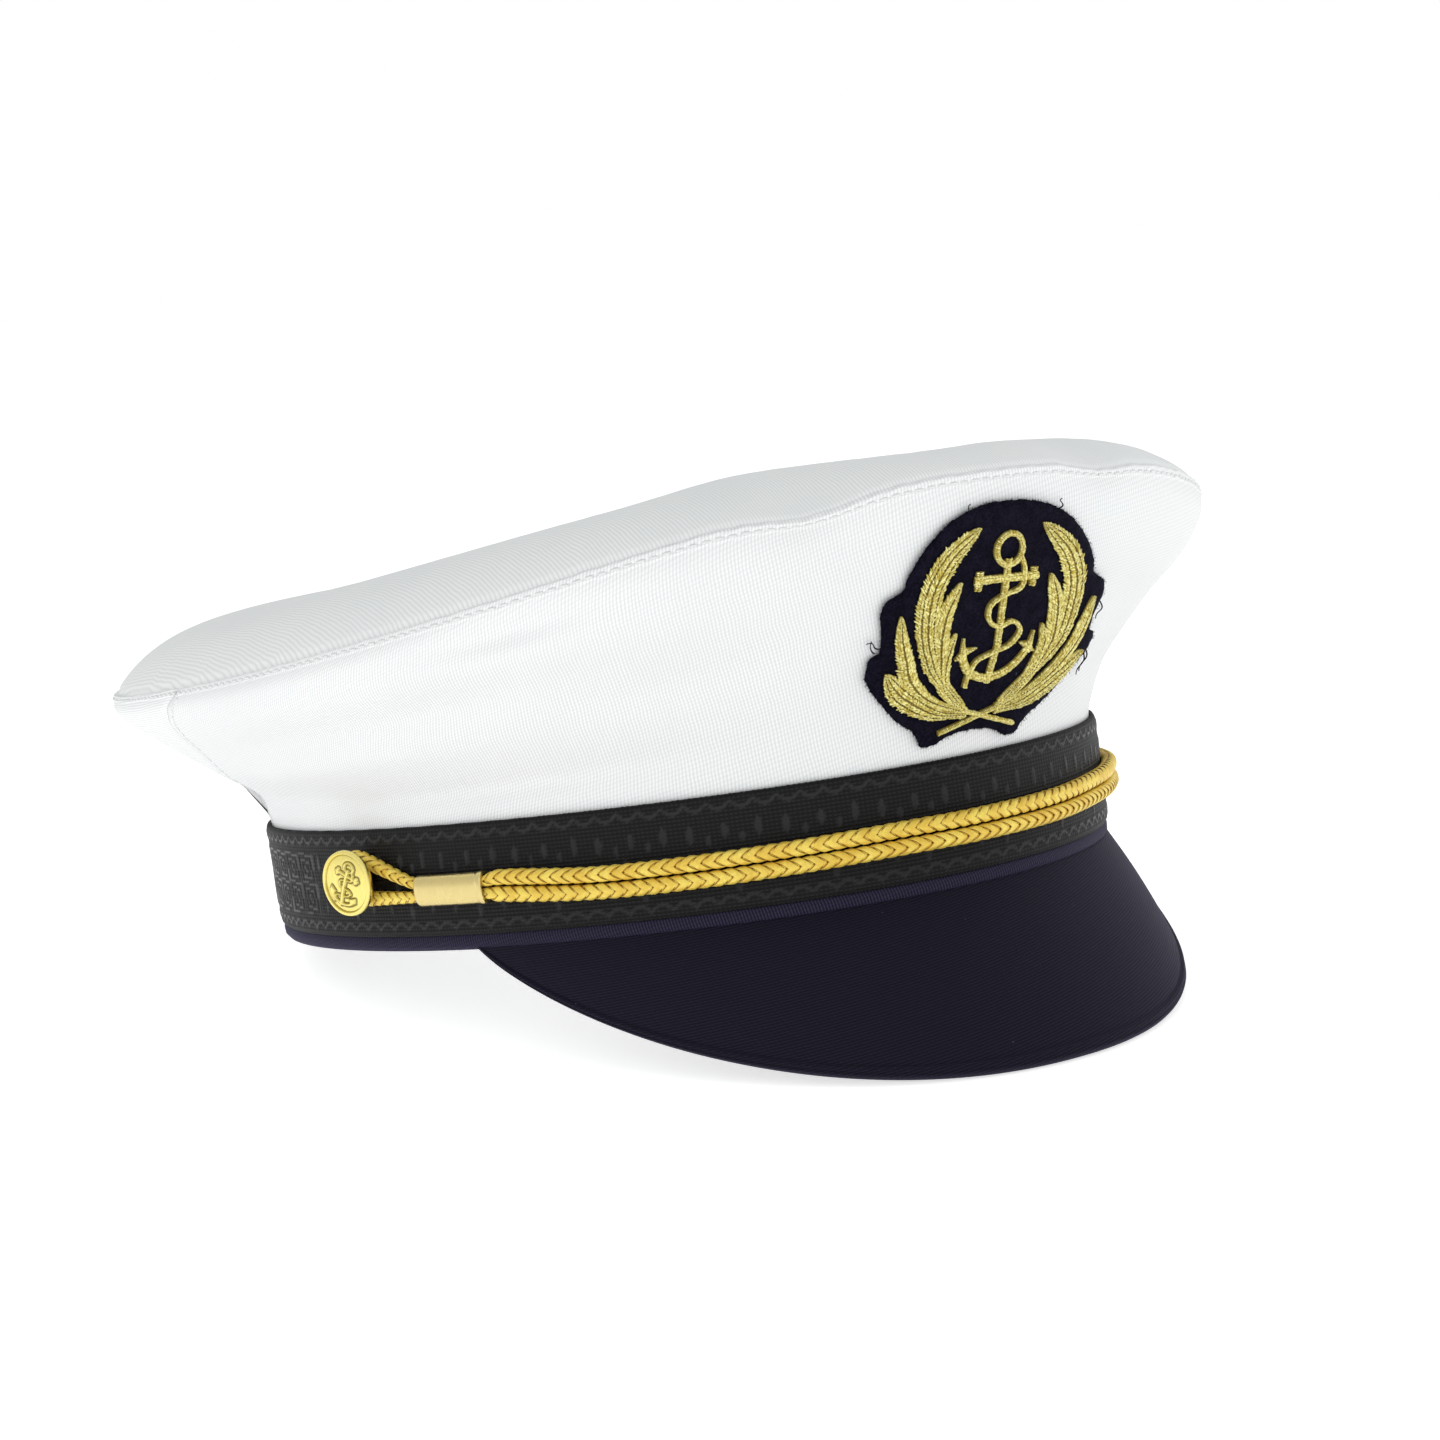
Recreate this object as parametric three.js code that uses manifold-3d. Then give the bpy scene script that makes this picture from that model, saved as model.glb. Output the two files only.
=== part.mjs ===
// A captain's hat in white, black and navy cloth, lying on a table on its peak and the rear of its rim.
// Millimetres, Z up. The front of the hat looks towards -Y and the wearer's left is +X.
// Angles round the head start at the front centre and grow towards the wearer's left.
import * as THREE from 'three';
import { mergeVertices } from 'three/addons/utils/BufferGeometryUtils.js';
import Module from 'manifold-3d';

// Fits and walls
const clearance = 0.3;          // free space between neighbouring pieces
const clothWall = 1.5;          // crown cloth with its backing
const seamLap = 2.0;            // width of the turned-in cloth at the top seam

// Head band and ribbon
const bandHalfLength = 104.7;   // outside of the band, front to back
const bandHalfWidth = 88.0;     // outside of the band, side to side
const bandTaper = -0.09;        // the head oval is narrower at the front
const bandWall = 2.0;
const ribbonWall = 1.0;
const ribbonFoot = 3.3;         // height of the ribbon's lower edge over the rim
const ribbonHeight = 22.8;
const ribbonTuck = 1.0;         // how far the ribbon covers the foot of the crown

// Crown
const crownHalfLength = 127.7;  // top seam, front to back
const crownHalfWidth = 115.2;   // top seam, side to side
const crownTaper = -0.058;
const crownSquareness = 2.25;   // 2 is an ellipse, more is squarer
const crownSetback = 1.6;       // the top oval sits behind the centre of the band
const seamHeight = 66.6;        // mean height of the top seam over the rim
const seamFrontRise = 6.1;      // the front of the seam stands higher, the back lower
const seamEndRise = 5.5;        // front and back stand higher than the sides
const seamBrow = 2.2;           // the seam is lifted over the forehead
const browAngle = -5;           // degrees
const browSpread = 32;          // degrees
const domeRise = 12.9;          // the top panel over its seam
const domePower = 11;           // a high power makes a flat top with a tight shoulder
const frontStiffness = 0.6;     // the front of the crown stands straighter than its sides
const frontSpread = 40;         // degrees
const rearSeamFoot = 117;       // angle of the rear seams at the ribbon
const rearSeamHead = 91;        // angle of the rear seams at the top seam
const rearSeamGap = 0.5;
const foldDepth = 2.2;          // deepest fold in the cloth

// Peak
const peakWidth = 41.6;         // at the front centre
const peakThickness = 2.4;
const peakColumns = 32;
const peakEnd = 0.995;          // the peak stops just before its width fades to nothing
const peakHalfAngle = 68.6;     // the root of the peak runs this far round the band each way
const peakSlope = 53;           // degrees below the plane of the rim
const peakFan = 0.02;           // how the sides of the peak turn with the band
const peakFullness = 2.56;      // a higher power keeps the peak wide nearer to its ends
const peakTipPower = 0.75;
const peakRootHeight = 1.0;     // the upper face of the peak meets the band here
const peakCamber = 1.2;
const bindingWidth = 2.4;       // bound edge
const bindingRise = 0.5;

// Chin cord and its brass
const strandRadius = 1.6;
const pinchedRadius = 1.15;     // inside the sleeves
const strandGap = 0.25;         // between the two strands
const sleeveWall = 0.45;
const sleeveRoundness = 0.8;    // 1 is an ellipse, less is squarer
const sleeveSides = 16;
const sleeveStart = 64.3;       // angles of the two ends of a sleeve
const sleeveEnd = 73.9;
const buttonAngle = 83.5;
const buttonHeight = 16.1;      // centre of the button over the rim
const buttonRadius = 7.3;
const buttonStandoff = 5.3;     // back of the button from the ribbon
const buttonThickness = 1.2;
const buttonDome = 0.7;
const buttonTurn = 12;          // the cord pulls the button round towards the front
const buttonTilt = 28;          // the anchor on the button leans
const buttonRelief = 0.35;
const buttonSides = 16;
const buttonShape = {
  edge: 0.45,                   // height of the widest place, as a share of the thickness
  rimRise: 0.1,
  rimOuter: 0.98,               // shares of the radius
  rimTop: 0.91,
  rimInner: 0.86,
  domeDrop: 0.15,
};
const buttonAnchor = 1.5;       // height of the anchor over the radius of its button
const shankRadius = 1.5;
const cordLoopRadius = 4.4;     // the cord passes round the shank behind the button
const cordWrap = 110;           // degrees of the shank's far side that the cord holds, each way

// Badge
const badgeHalfWidth = 30.4;
const badgeHeight = 49.6;
const badgeFoot = 2.9;          // lowest point of the patch over the ribbon
const badgeShift = 3.7;         // the patch is sewn a little to the wearer's left
const badgeLean = 2.0;          // degrees
const badgeSkew = 0.08;         // the cloth under it is pulled, and its top leans to the wearer's right
const badgeDrift = 4.6;         // its foot is pulled to the wearer's right
const badgeDriftHeight = 20;
const badgeWall = 1.2;
const embroideryRise = 1.1;
const anchorHeight = 34.5;
const anchorLift = 11.0;        // foot of the anchor over the foot of the patch

// Mesh density
const roundSteps = 52;
const frontColumns = 32;
const backColumns = 18;
const frontCloseness = 0.6;     // spacing of the columns at the front, to their mean
const cordStepsPerPoint = 2;
const cordSides = 8;

// Side of the crown: share of its height, share of its reach from the band out to the top seam
const sideProfile = [
  { height: 0.000, reach: 0.00 },
  { height: 0.025, reach: 0.00 },
  { height: 0.130, reach: 0.04 },
  { height: 0.260, reach: 0.13 },
  { height: 0.410, reach: 0.34 },
  { height: 0.560, reach: 0.59 },
  { height: 0.705, reach: 0.83 },
  { height: 0.825, reach: 0.97 },
  { height: 0.920, reach: 1.03 },
  { height: 1.000, reach: 1.00 },
];

// Rings of the top panel, as shares of the way from its centre to its seam
const topRings = [1, 0.98, 0.95, 0.9, 0.83, 0.72, 0.5, 0.25, 0];
const topInnerRings = [1, 0.95, 0.83, 0.5, 0];

// Folds: angle and width in degrees; along is 0 at the ribbon, 1 at the top seam, 2 at the top's centre
const folds = [
  { angle: -18, along: 1.00, width: 6, spread: 0.12, depth: 1.60 },
  { angle: -16, along: 0.80, width: 6, spread: 0.12, depth: 0.60 },
  { angle: -25, along: 1.24, width: 11, spread: 0.14, depth: -0.60 },
  { angle: -1, along: 1.20, width: 10, spread: 0.12, depth: 0.55 },
  { angle: 13, along: 1.02, width: 5, spread: 0.10, depth: 1.00 },
  { angle: -66, along: 0.62, width: 26, spread: 0.10, depth: 0.50 },
  { angle: -84, along: 0.40, width: 24, spread: 0.09, depth: -0.35 },
  { angle: -110, along: 0.70, width: 16, spread: 0.12, depth: 0.45 },
  { angle: 66, along: 0.58, width: 24, spread: 0.10, depth: 0.50 },
  { angle: 98, along: 0.74, width: 20, spread: 0.12, depth: 0.45 },
  { angle: 172, along: 0.60, width: 18, spread: 0.12, depth: 0.50 },
];

// Middle line of the cord over the front: angle in degrees, height as a share of the ribbon's top
const cordLine = [
  { angle: -62, height: 0.508 },
  { angle: -51, height: 0.464 },
  { angle: -39, height: 0.460 },
  { angle: -26, height: 0.471 },
  { angle: -13, height: 0.483 },
  { angle: 0, height: 0.478 },
  { angle: 15, height: 0.480 },
  { angle: 30, height: 0.502 },
  { angle: 40, height: 0.520 },
  { angle: 51, height: 0.512 },
  { angle: 62, height: 0.508 },
];

// Half outline of the patch from top to foot, as shares of its half width and its height
const patchOutline = [
  { across: 0.00, up: 1.000 },
  { across: 0.14, up: 0.996 },
  { across: 0.27, up: 0.982 },
  { across: 0.38, up: 0.960 },
  { across: 0.49, up: 0.930 },
  { across: 0.58, up: 0.888 },
  { across: 0.66, up: 0.840 },
  { across: 0.72, up: 0.790 },
  { across: 0.78, up: 0.722 },
  { across: 0.80, up: 0.684 },
  { across: 0.92, up: 0.648 },
  { across: 0.955, up: 0.600 },
  { across: 0.94, up: 0.545 },
  { across: 0.92, up: 0.500 },
  { across: 0.92, up: 0.432 },
  { across: 0.985, up: 0.414 },
  { across: 1.00, up: 0.380 },
  { across: 0.98, up: 0.330 },
  { across: 0.92, up: 0.285 },
  { across: 0.81, up: 0.224 },
  { across: 0.71, up: 0.170 },
  { across: 0.59, up: 0.115 },
  { across: 0.48, up: 0.075 },
  { across: 0.43, up: 0.042 },
  { across: 0.395, up: 0.010 },
  { across: 0.34, up: 0.000 },
  { across: 0.27, up: 0.010 },
  { across: 0.20, up: 0.032 },
  { across: 0.10, up: 0.046 },
  { across: 0.00, up: 0.050 },
];

// Leaves and stem of one branch, each as [across, up] from tip to foot, and its width over the half width
const branch = [
  { way: [[0.26, 0.907], [0.50, 0.780], [0.60, 0.620], [0.52, 0.380], [0.16, 0.155]], width: 0.185 },
  { way: [[0.37, 0.696], [0.46, 0.560], [0.46, 0.400], [0.34, 0.240], [0.15, 0.152]], width: 0.140 },
  { way: [[0.36, 0.482], [0.40, 0.380], [0.35, 0.270], [0.25, 0.185], [0.12, 0.145]], width: 0.085 },
  { way: [[0.81, 0.589], [0.77, 0.470], [0.67, 0.330], [0.46, 0.215], [0.16, 0.142]], width: 0.120 },
  { way: [[0.85, 0.349], [0.71, 0.265], [0.52, 0.190], [0.34, 0.142], [0.12, 0.126]], width: 0.140 },
];
const stem = { way: [[0.16, 0.145], [0.04, 0.124], [-0.12, 0.094], [-0.30, 0.062]], width: 0.055 };

// Anchor, as shares of its height, from its foot up
const anchorShape = {
  stroke: 0.040,
  ropeWidth: 0.036,
  ringCentre: 0.872,
  ringRadius: 0.098,
  stockHeight: 0.680,
  stockHalfLength: 0.225,
  stockWidth: 0.060,
  knobPlace: 0.190,
  knobHalfHeight: 0.055,
  shankTop: 0.800,
  shankWidth: 0.056,
  armCentre: 0.345,
  armRadius: 0.290,
  armSpread: 66,
  armWidth: 0.066,
  flukeTip: [0.280, 0.350],
  flukeInner: [0.165, 0.255],
  flukeOuter: [0.300, 0.215],
};
const ropeWay = [
  [0.085, 0.800], [0.118, 0.730], [0.112, 0.620], [-0.015, 0.575], [-0.095, 0.520], [-0.090, 0.430],
  [-0.010, 0.385], [0.085, 0.410], [0.150, 0.350], [0.085, 0.265], [-0.035, 0.225], [-0.130, 0.185],
  [-0.160, 0.100], [-0.160, 0.030],
];

const ribbonTop = ribbonFoot + ribbonHeight;
const crownFoot = ribbonTop - ribbonTuck;
const ribbonInner = clearance;
const ribbonOuter = ribbonInner + ribbonWall;
const badgeFace = 1.5 * clearance + badgeWall;

const radians = THREE.MathUtils.degToRad;
const lerp = THREE.MathUtils.lerp;
const smoothstep = THREE.MathUtils.smoothstep;
const wasm = await Module();
wasm.setup();

// Closed solids from rings of points

// Merges equal corners, drops empty triangles and turns the faces outwards.
function closedGeometry(positions, indices) {
  const loose = new THREE.BufferGeometry();
  loose.setAttribute('position', new THREE.Float32BufferAttribute(positions, 3));
  loose.setIndex(indices);
  const merged = mergeVertices(loose, 1e-4);
  const index = merged.getIndex().array;
  const corner = (i) => new THREE.Vector3().fromBufferAttribute(merged.getAttribute('position'), i);
  const kept = [];
  let volume = 0;
  for (let i = 0; i < index.length; i += 3) {
    const [a, b, c] = [index[i], index[i + 1], index[i + 2]];
    if (a !== b && b !== c && c !== a) {
      kept.push(a, b, c);
      volume += corner(a).dot(corner(b).cross(corner(c)));
    }
  }
  if (volume < 0) {
    kept.reverse();
  }
  merged.setIndex(kept);
  return merged;
}

// Skins a row of closed sections. An open row gets a flat cap at each end.
function skin(sections, loop) {
  const count = sections[0].length;
  const positions = sections.flat().flatMap((point) => point.toArray());
  const indices = [];
  const quad = (a, b, c, d) => indices.push(a, b, c, a, c, d);
  const spans = loop ? sections.length : sections.length - 1;
  for (let i = 0; i < spans; i += 1) {
    const here = i * count;
    const next = ((i + 1) % sections.length) * count;
    for (let j = 0; j < count; j += 1) {
      const k = (j + 1) % count;
      quad(here + j, next + j, next + k, here + k);
    }
  }
  if (!loop) {
    const last = (sections.length - 1) * count;
    for (let j = 0; j < count / 2 - 1; j += 1) {
      const k = count - 1 - j;
      quad(j, j + 1, k - 1, k);
      quad(last + k, last + k - 1, last + j + 1, last + j);
    }
  }
  return closedGeometry(positions, indices);
}

// Point at a distance from a surface, along its normal.
function offsetPoint(surface, u, v, distance) {
  const step = 1e-3;
  const along = surface(u + step, v).sub(surface(u - step, v));
  const up = surface(u, v + step).sub(surface(u, v - step));
  const normal = along.cross(up).normalize();
  return surface(u, v).addScaledVector(normal, distance);
}

function inTable(table, key, input, output) {
  const row = table.findIndex((entry) => entry[input] >= key);
  const upper = table[Math.max(row, 1)];
  const lower = table[Math.max(row, 1) - 1];
  const share = (key - lower[input]) / (upper[input] - lower[input]);
  return lerp(lower[output], upper[output], share);
}

// Ovals of the band and of the top seam

function bandPoint(angle, height, offset) {
  const x = (bandHalfWidth + offset) * Math.sin(angle) * (1 + bandTaper * Math.cos(angle));
  return new THREE.Vector3(x, -(bandHalfLength + offset) * Math.cos(angle), height);
}

// Along an oval, 2 / crownSquareness turns a circle's sine into the squarer form.
function topPoint(angle, ring) {
  const rounded = (value) => Math.sign(value) * Math.abs(value) ** (2 / crownSquareness);
  const x = ring * crownHalfWidth * rounded(Math.sin(angle)) * (1 + crownTaper * Math.cos(angle));
  const y = crownSetback - ring * crownHalfLength * rounded(Math.cos(angle));
  const tilt = ring * seamFrontRise * Math.cos(angle) + ring ** 2 * seamEndRise * Math.cos(2 * angle);
  const brow = seamBrow * Math.exp(-((degreesFrom(angle, browAngle) / browSpread) ** 2));
  return new THREE.Vector3(x, y, seamHeight + tilt + lerp(domeRise, brow, ring ** domePower));
}

function degreesFrom(angle, degrees) {
  const turn = Math.abs(THREE.MathUtils.radToDeg(angle) - degrees);
  return Math.min(turn, 360 - turn);
}

function sidePoint(angle, share) {
  const foot = bandPoint(angle, crownFoot, 0);
  const head = topPoint(angle, 1);
  const tucked = sideProfile[1].height;
  const straight = Math.max(share - tucked, 0) / (1 - tucked);
  const stiff = frontStiffness * Math.exp(-((degreesFrom(angle, 0) / frontSpread) ** 2));
  const reach = lerp(inTable(sideProfile, share, 'height', 'reach'), straight, stiff);
  const height = lerp(foot.z, head.z, share);
  return foot.lerp(head, reach).setZ(height);
}

function foldAt(angle, along) {
  let depth = 0;
  for (const fold of folds) {
    const away = degreesFrom(angle, fold.angle) / fold.width;
    depth += fold.depth * Math.exp(-(away ** 2) - ((along - fold.along) / fold.spread) ** 2);
  }
  return depth * foldDepth;
}

// The whole outside of the crown, with its folds pushed in.
function crownPoint(angle, along) {
  const point = along < 1 ? sidePoint(angle, along) : topPoint(angle, Math.max(2 - along, 0));
  const rise = smoothstep(along, 0.8, 1.2) * Math.PI / 2;
  const outward = new THREE.Vector3(Math.sin(angle), -Math.cos(angle), 0);
  outward.multiplyScalar(Math.cos(rise)).setZ(Math.sin(rise));
  return point.addScaledVector(outward, -foldAt(angle, along));
}

function inwards(point, distance) {
  const flat = new THREE.Vector3(point.x, point.y - crownSetback, 0).normalize();
  return point.clone().addScaledVector(flat, -distance);
}

// Band, ribbon and crown

function ringWall(outer, inner, low, high) {
  const sections = [];
  for (let i = 0; i < roundSteps; i += 1) {
    const angle = 2 * Math.PI * i / roundSteps;
    const corners = [[low, outer], [high, outer], [high, inner], [low, inner]];
    sections.push(corners.map(([height, offset]) => bandPoint(angle, height, offset)));
  }
  return skin(sections, true);
}

// Angles of a side panel's columns at a share of its height. They are closer together at the front.
function columnAngles(fromBack, share) {
  const seam = radians(lerp(rearSeamFoot, rearSeamHead, share));
  const half = rearSeamGap / 2 / bandHalfWidth;
  const columns = fromBack ? backColumns : frontColumns;
  return Array.from({ length: columns + 1 }, (_, i) => {
    const way = 2 * i / columns - 1;
    if (fromBack) {
      return Math.PI + way * (Math.PI - seam - half);
    }
    return (seam - half) * way * lerp(frontCloseness, 1, Math.abs(way));
  });
}

// A side panel of the crown between the two rear seams, which lean forwards as they rise.
function sidePanel(fromBack) {
  const columns = fromBack ? backColumns : frontColumns;
  const edge = 1e-6;
  const drop = new THREE.Vector3(0, 0, -clearance / 2);
  const sections = [];
  for (let i = 0; i <= columns; i += 1) {
    const outside = sideProfile.map(({ height }) => {
      const angle = columnAngles(fromBack, height)[i];
      return crownPoint(angle, Math.min(height, 1 - edge));
    });
    const inside = sideProfile.map(({ height }) => {
      const angle = columnAngles(fromBack, height)[i];
      return offsetPoint(crownPoint, angle, THREE.MathUtils.clamp(height, 2e-3, 1 - 2e-3), -clothWall);
    });
    outside.at(-1).add(drop);
    inside[0] = inwards(outside[0], clothWall);
    inside[inside.length - 1] = inwards(outside.at(-1), seamLap);
    sections.push([...outside, ...inside.reverse()]);
  }
  return skin(sections, false);
}

function topPanel() {
  const angles = [...columnAngles(false, 1), ...columnAngles(true, 1).slice(1, -1)];
  const innermost = 0.1;
  const lift = new THREE.Vector3(0, 0, clearance / 2);
  const sections = angles.map((angle) => {
    const outside = topRings.map((ring) => crownPoint(angle, 2 - ring));
    const inside = topInnerRings.map((ring) => {
      return offsetPoint(crownPoint, angle, 2 - Math.max(ring, innermost), -clothWall);
    });
    outside[0].add(lift);
    inside[0] = inwards(outside[0], seamLap);
    inside[inside.length - 1] = outside.at(-1).clone().setZ(outside.at(-1).z - clothWall);
    return [...outside, ...inside.reverse()];
  });
  return skin(sections, true);
}

// Peak

function widthAcross(across) {
  return peakWidth * Math.max(1 - Math.abs(across) ** peakFullness, 0) ** peakTipPower;
}

function peakPoint(across, share) {
  const angle = across * radians(peakHalfAngle);
  const root = bandPoint(angle, peakRootHeight, clearance);
  const facing = Math.atan2(Math.sin(angle) / bandHalfWidth, Math.cos(angle) / bandHalfLength) * peakFan;
  const width = widthAcross(across);
  const slope = radians(peakSlope);
  const away = new THREE.Vector3(Math.sin(facing), -Math.cos(facing), -Math.tan(slope));
  away.multiplyScalar(Math.cos(slope));
  const camber = peakCamber * Math.sin(Math.PI * share) * width / peakWidth;
  const bulge = new THREE.Vector3(0, -Math.sin(slope), Math.cos(slope)).multiplyScalar(camber);
  return root.addScaledVector(away, width * share).add(bulge);
}

function peakGeometry() {
  const sections = [];
  for (let i = 0; i <= peakColumns; i += 1) {
    const across = peakEnd * Math.sin(Math.PI * (i / peakColumns - 0.5));
    const binding = Math.min(bindingWidth / widthAcross(across), 0.5);
    const rows = [
      { share: 0, rise: 0 },
      { share: 0.35, rise: 0 },
      { share: 0.7, rise: 0 },
      { share: 1 - binding, rise: 0 },
      { share: 1 - 0.85 * binding, rise: bindingRise },
      { share: 1 - 0.3 * binding, rise: bindingRise },
    ];
    const level = (share, rise) => offsetPoint(peakPoint, across, share, -rise);
    const upper = rows.map(({ share, rise }) => level(share, rise));
    const lower = rows.map(({ share, rise }) => level(share, -peakThickness - rise));
    const angle = across * radians(peakHalfAngle);
    const tip = level(1, -peakThickness / 2);
    const under = bandPoint(angle, -clearance, clearance);
    const heel = bandPoint(angle, -clearance, -bandWall);
    sections.push([under, ...upper, tip, ...lower.slice(1).reverse(), heel]);
  }
  return skin(sections, false);
}

// Cord, sleeves and buttons

const ribbonPoint = (angle, height, offset) => bandPoint(angle, height, ribbonOuter + offset);
const cordStandoff = clearance + strandRadius;
const sleeveInnerDepth = pinchedRadius + clearance;
const sleeveStandoff = clearance + sleeveWall + sleeveInnerDepth;
const strandOffset = strandRadius + strandGap / 2;
const pinchedOffset = pinchedRadius + strandGap / 2;

// One closed loop: over the front on the upper strand, round the left shank, back on the lower strand
// and round the right shank.
function cordGeometry() {
  const front = (level) => cordLine.map(({ angle, height }) => ({
    angle: radians(angle),
    height: ribbonTop * height + level * strandOffset,
    standoff: cordStandoff,
    radius: strandRadius,
  }));
  const turnOf = (side) => {
    const held = [];
    for (const level of [1, -1]) {
      for (const degrees of [sleeveStart, (sleeveStart + sleeveEnd) / 2, sleeveEnd]) {
        const angle = radians(side * degrees);
        const height = ribbonTop * cordLine.at(side > 0 ? -1 : 0).height + level * pinchedOffset;
        held.push({ angle, height, standoff: sleeveStandoff, radius: pinchedRadius });
      }
    }
    const round = [];
    for (let i = 0; i <= 6; i += 1) {
      const turn = radians(lerp(cordWrap, -cordWrap, i / 6));
      const away = cordLoopRadius * Math.cos(turn) / bandHalfLength;
      const height = buttonHeight + cordLoopRadius * Math.sin(turn);
      const angle = side * (radians(buttonAngle) + away);
      round.push({ angle, height, standoff: cordStandoff, radius: strandRadius });
    }
    return [...held.slice(0, 3), ...round, ...held.slice(3).reverse()];
  };
  const left = turnOf(1);
  const right = turnOf(-1).reverse();
  const route = [...front(1), ...left, ...front(-1).reverse(), ...right];
  const points = route.map(({ angle, height, standoff }) => ribbonPoint(angle, height, standoff));
  const curve = new THREE.CatmullRomCurve3(points, true, 'centripetal');
  const steps = points.length * cordStepsPerPoint;
  const sections = [];
  for (let i = 0; i < steps; i += 1) {
    const here = Math.floor(i / cordStepsPerPoint);
    const next = (here + 1) % points.length;
    const radius = lerp(route[here].radius, route[next].radius, i / cordStepsPerPoint - here);
    const centre = curve.getPoint(i / steps);
    const tangent = curve.getTangent(i / steps);
    const across = tangent.clone().cross(new THREE.Vector3(centre.x, centre.y, 0)).normalize();
    const outward = across.clone().cross(tangent);
    const section = [];
    for (let j = 0; j < cordSides; j += 1) {
      const turn = 2 * Math.PI * (j + 0.5) / cordSides;
      const corner = centre.clone().addScaledVector(across, radius * Math.cos(turn));
      section.push(corner.addScaledVector(outward, radius * Math.sin(turn)));
    }
    sections.push(section);
  }
  return skin(sections, true);
}

function sleeveGeometry(side) {
  const rounded = (value) => Math.sign(value) * Math.abs(value) ** sleeveRoundness;
  const height = ribbonTop * cordLine.at(side > 0 ? -1 : 0).height;
  const innerHeight = pinchedOffset + pinchedRadius + clearance;
  const angles = [0, 0.5, 1].map((share) => radians(lerp(sleeveStart, sleeveEnd, share)));
  const sections = [];
  for (let i = 0; i < sleeveSides; i += 1) {
    const across = rounded(Math.cos(2 * Math.PI * i / sleeveSides));
    const up = rounded(Math.sin(2 * Math.PI * i / sleeveSides));
    const corner = (angle, wall) => ribbonPoint(
      side * angle,
      height + up * (innerHeight + wall),
      sleeveStandoff + across * (sleeveInnerDepth + wall),
    );
    const outside = angles.map((angle) => corner(angle, sleeveWall));
    const inside = angles.map((angle) => corner(angle, 0));
    sections.push([...outside, ...inside.reverse()]);
  }
  return skin(sections, true);
}

// Raised work, drawn flat as bars and then laid on a curved face

function toSolid(geometry) {
  const bare = new THREE.BufferGeometry();
  bare.setAttribute('position', geometry.getAttribute('position'));
  bare.setIndex(geometry.getIndex());
  const merged = mergeVertices(bare, 1e-4);
  const numProp = 3;
  const vertProperties = new Float32Array(merged.getAttribute('position').array);
  const triVerts = new Uint32Array(merged.getIndex().array);
  return new wasm.Manifold(new wasm.Mesh({ numProp, vertProperties, triVerts }));
}

function joined(geometries) {
  const solid = geometries.map(toSolid).reduce((sum, next) => sum.add(next));
  const mesh = solid.getMesh();
  return closedGeometry(Array.from(mesh.vertProperties), Array.from(mesh.triVerts));
}

// A low bar along a flat curve: flat below, narrower on top. Its width follows a function of the way.
function bar(curve, steps, loop, widthAt, low, high) {
  const sections = [];
  const count = loop ? steps : steps + 1;
  for (let i = 0; i < count; i += 1) {
    const share = i / steps;
    const centre = curve.getPoint(share);
    const tangent = curve.getTangent(share);
    const half = widthAt(share) / 2;
    const corner = (side, height) => new THREE.Vector3(
      centre.x - side * tangent.y * half,
      centre.y + side * tangent.x * half,
      height,
    );
    sections.push([corner(-1, low), corner(1, low), corner(0.6, high), corner(-0.6, high)]);
  }
  return skin(sections, loop);
}

const flatCurve = (points, loop = false) => new THREE.CatmullRomCurve3(
  points.map(([x, y]) => new THREE.Vector3(x, y, 0)),
  loop,
  'centripetal',
);

function prism(corners, low, high) {
  const shape = new THREE.Shape(corners.map(([x, y]) => new THREE.Vector2(x, y)));
  const geometry = new THREE.ExtrudeGeometry(shape, { depth: high - low, bevelEnabled: false });
  geometry.translate(0, 0, low);
  const index = Array.from({ length: geometry.getAttribute('position').count }, (_, i) => i);
  return closedGeometry(Array.from(geometry.getAttribute('position').array), index);
}

// Steps along each bar of an anchor
const coarseSteps = { ring: 8, shank: 2, stock: 2, arms: 5, rope: 11 };
const fineSteps = { ring: 12, shank: 3, stock: 2, arms: 8, rope: 20 };

// Anchor with its rope, foot at the origin and ring upwards.
function anchorSolids(size, low, high, steps) {
  const shape = anchorShape;
  const at = (points) => points.map(([x, y]) => [x * size, y * size]);
  const plain = (width) => () => width * size;
  const circle = (centre, radius, from, to, count) => {
    const points = [];
    for (let i = 0; i <= count; i += 1) {
      const turn = radians(lerp(from, to, i / count));
      points.push([radius * Math.sin(turn), centre - radius * Math.cos(turn)]);
    }
    return at(points);
  };
  const stock = [[-shape.stockHalfLength, shape.stockHeight], [shape.stockHalfLength, shape.stockHeight]];
  const ring = flatCurve(circle(shape.ringCentre, shape.ringRadius, 0, 315, 7), true);
  const shank = flatCurve(at([[0, 0.05], [0, shape.shankTop]]));
  const arms = flatCurve(circle(shape.armCentre, shape.armRadius, -shape.armSpread, shape.armSpread, 6));
  const pieces = [
    bar(ring, steps.ring, true, plain(shape.stroke), low, high),
    bar(shank, steps.shank, false, plain(shape.shankWidth), low, high),
    bar(flatCurve(at(stock)), steps.stock, false, plain(shape.stockWidth), low, 1.05 * high),
    bar(arms, steps.arms, false, plain(shape.armWidth), low, 0.95 * high),
    bar(flatCurve(at(ropeWay)), steps.rope, false, plain(shape.ropeWidth), low, 1.12 * high),
  ];
  for (const side of [-1, 1]) {
    const fluke = at([shape.flukeTip, shape.flukeInner, shape.flukeOuter].map(([x, y]) => [side * x, y]));
    pieces.push(prism(side > 0 ? fluke : fluke.reverse(), low, 0.9 * high));
    const knob = [[side * shape.knobPlace, shape.stockHeight - shape.knobHalfHeight],
      [side * shape.knobPlace, shape.stockHeight + shape.knobHalfHeight]];
    pieces.push(bar(flatCurve(at(knob)), 1, false, plain(shape.stroke), low, 1.15 * high));
  }
  return pieces;
}

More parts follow.
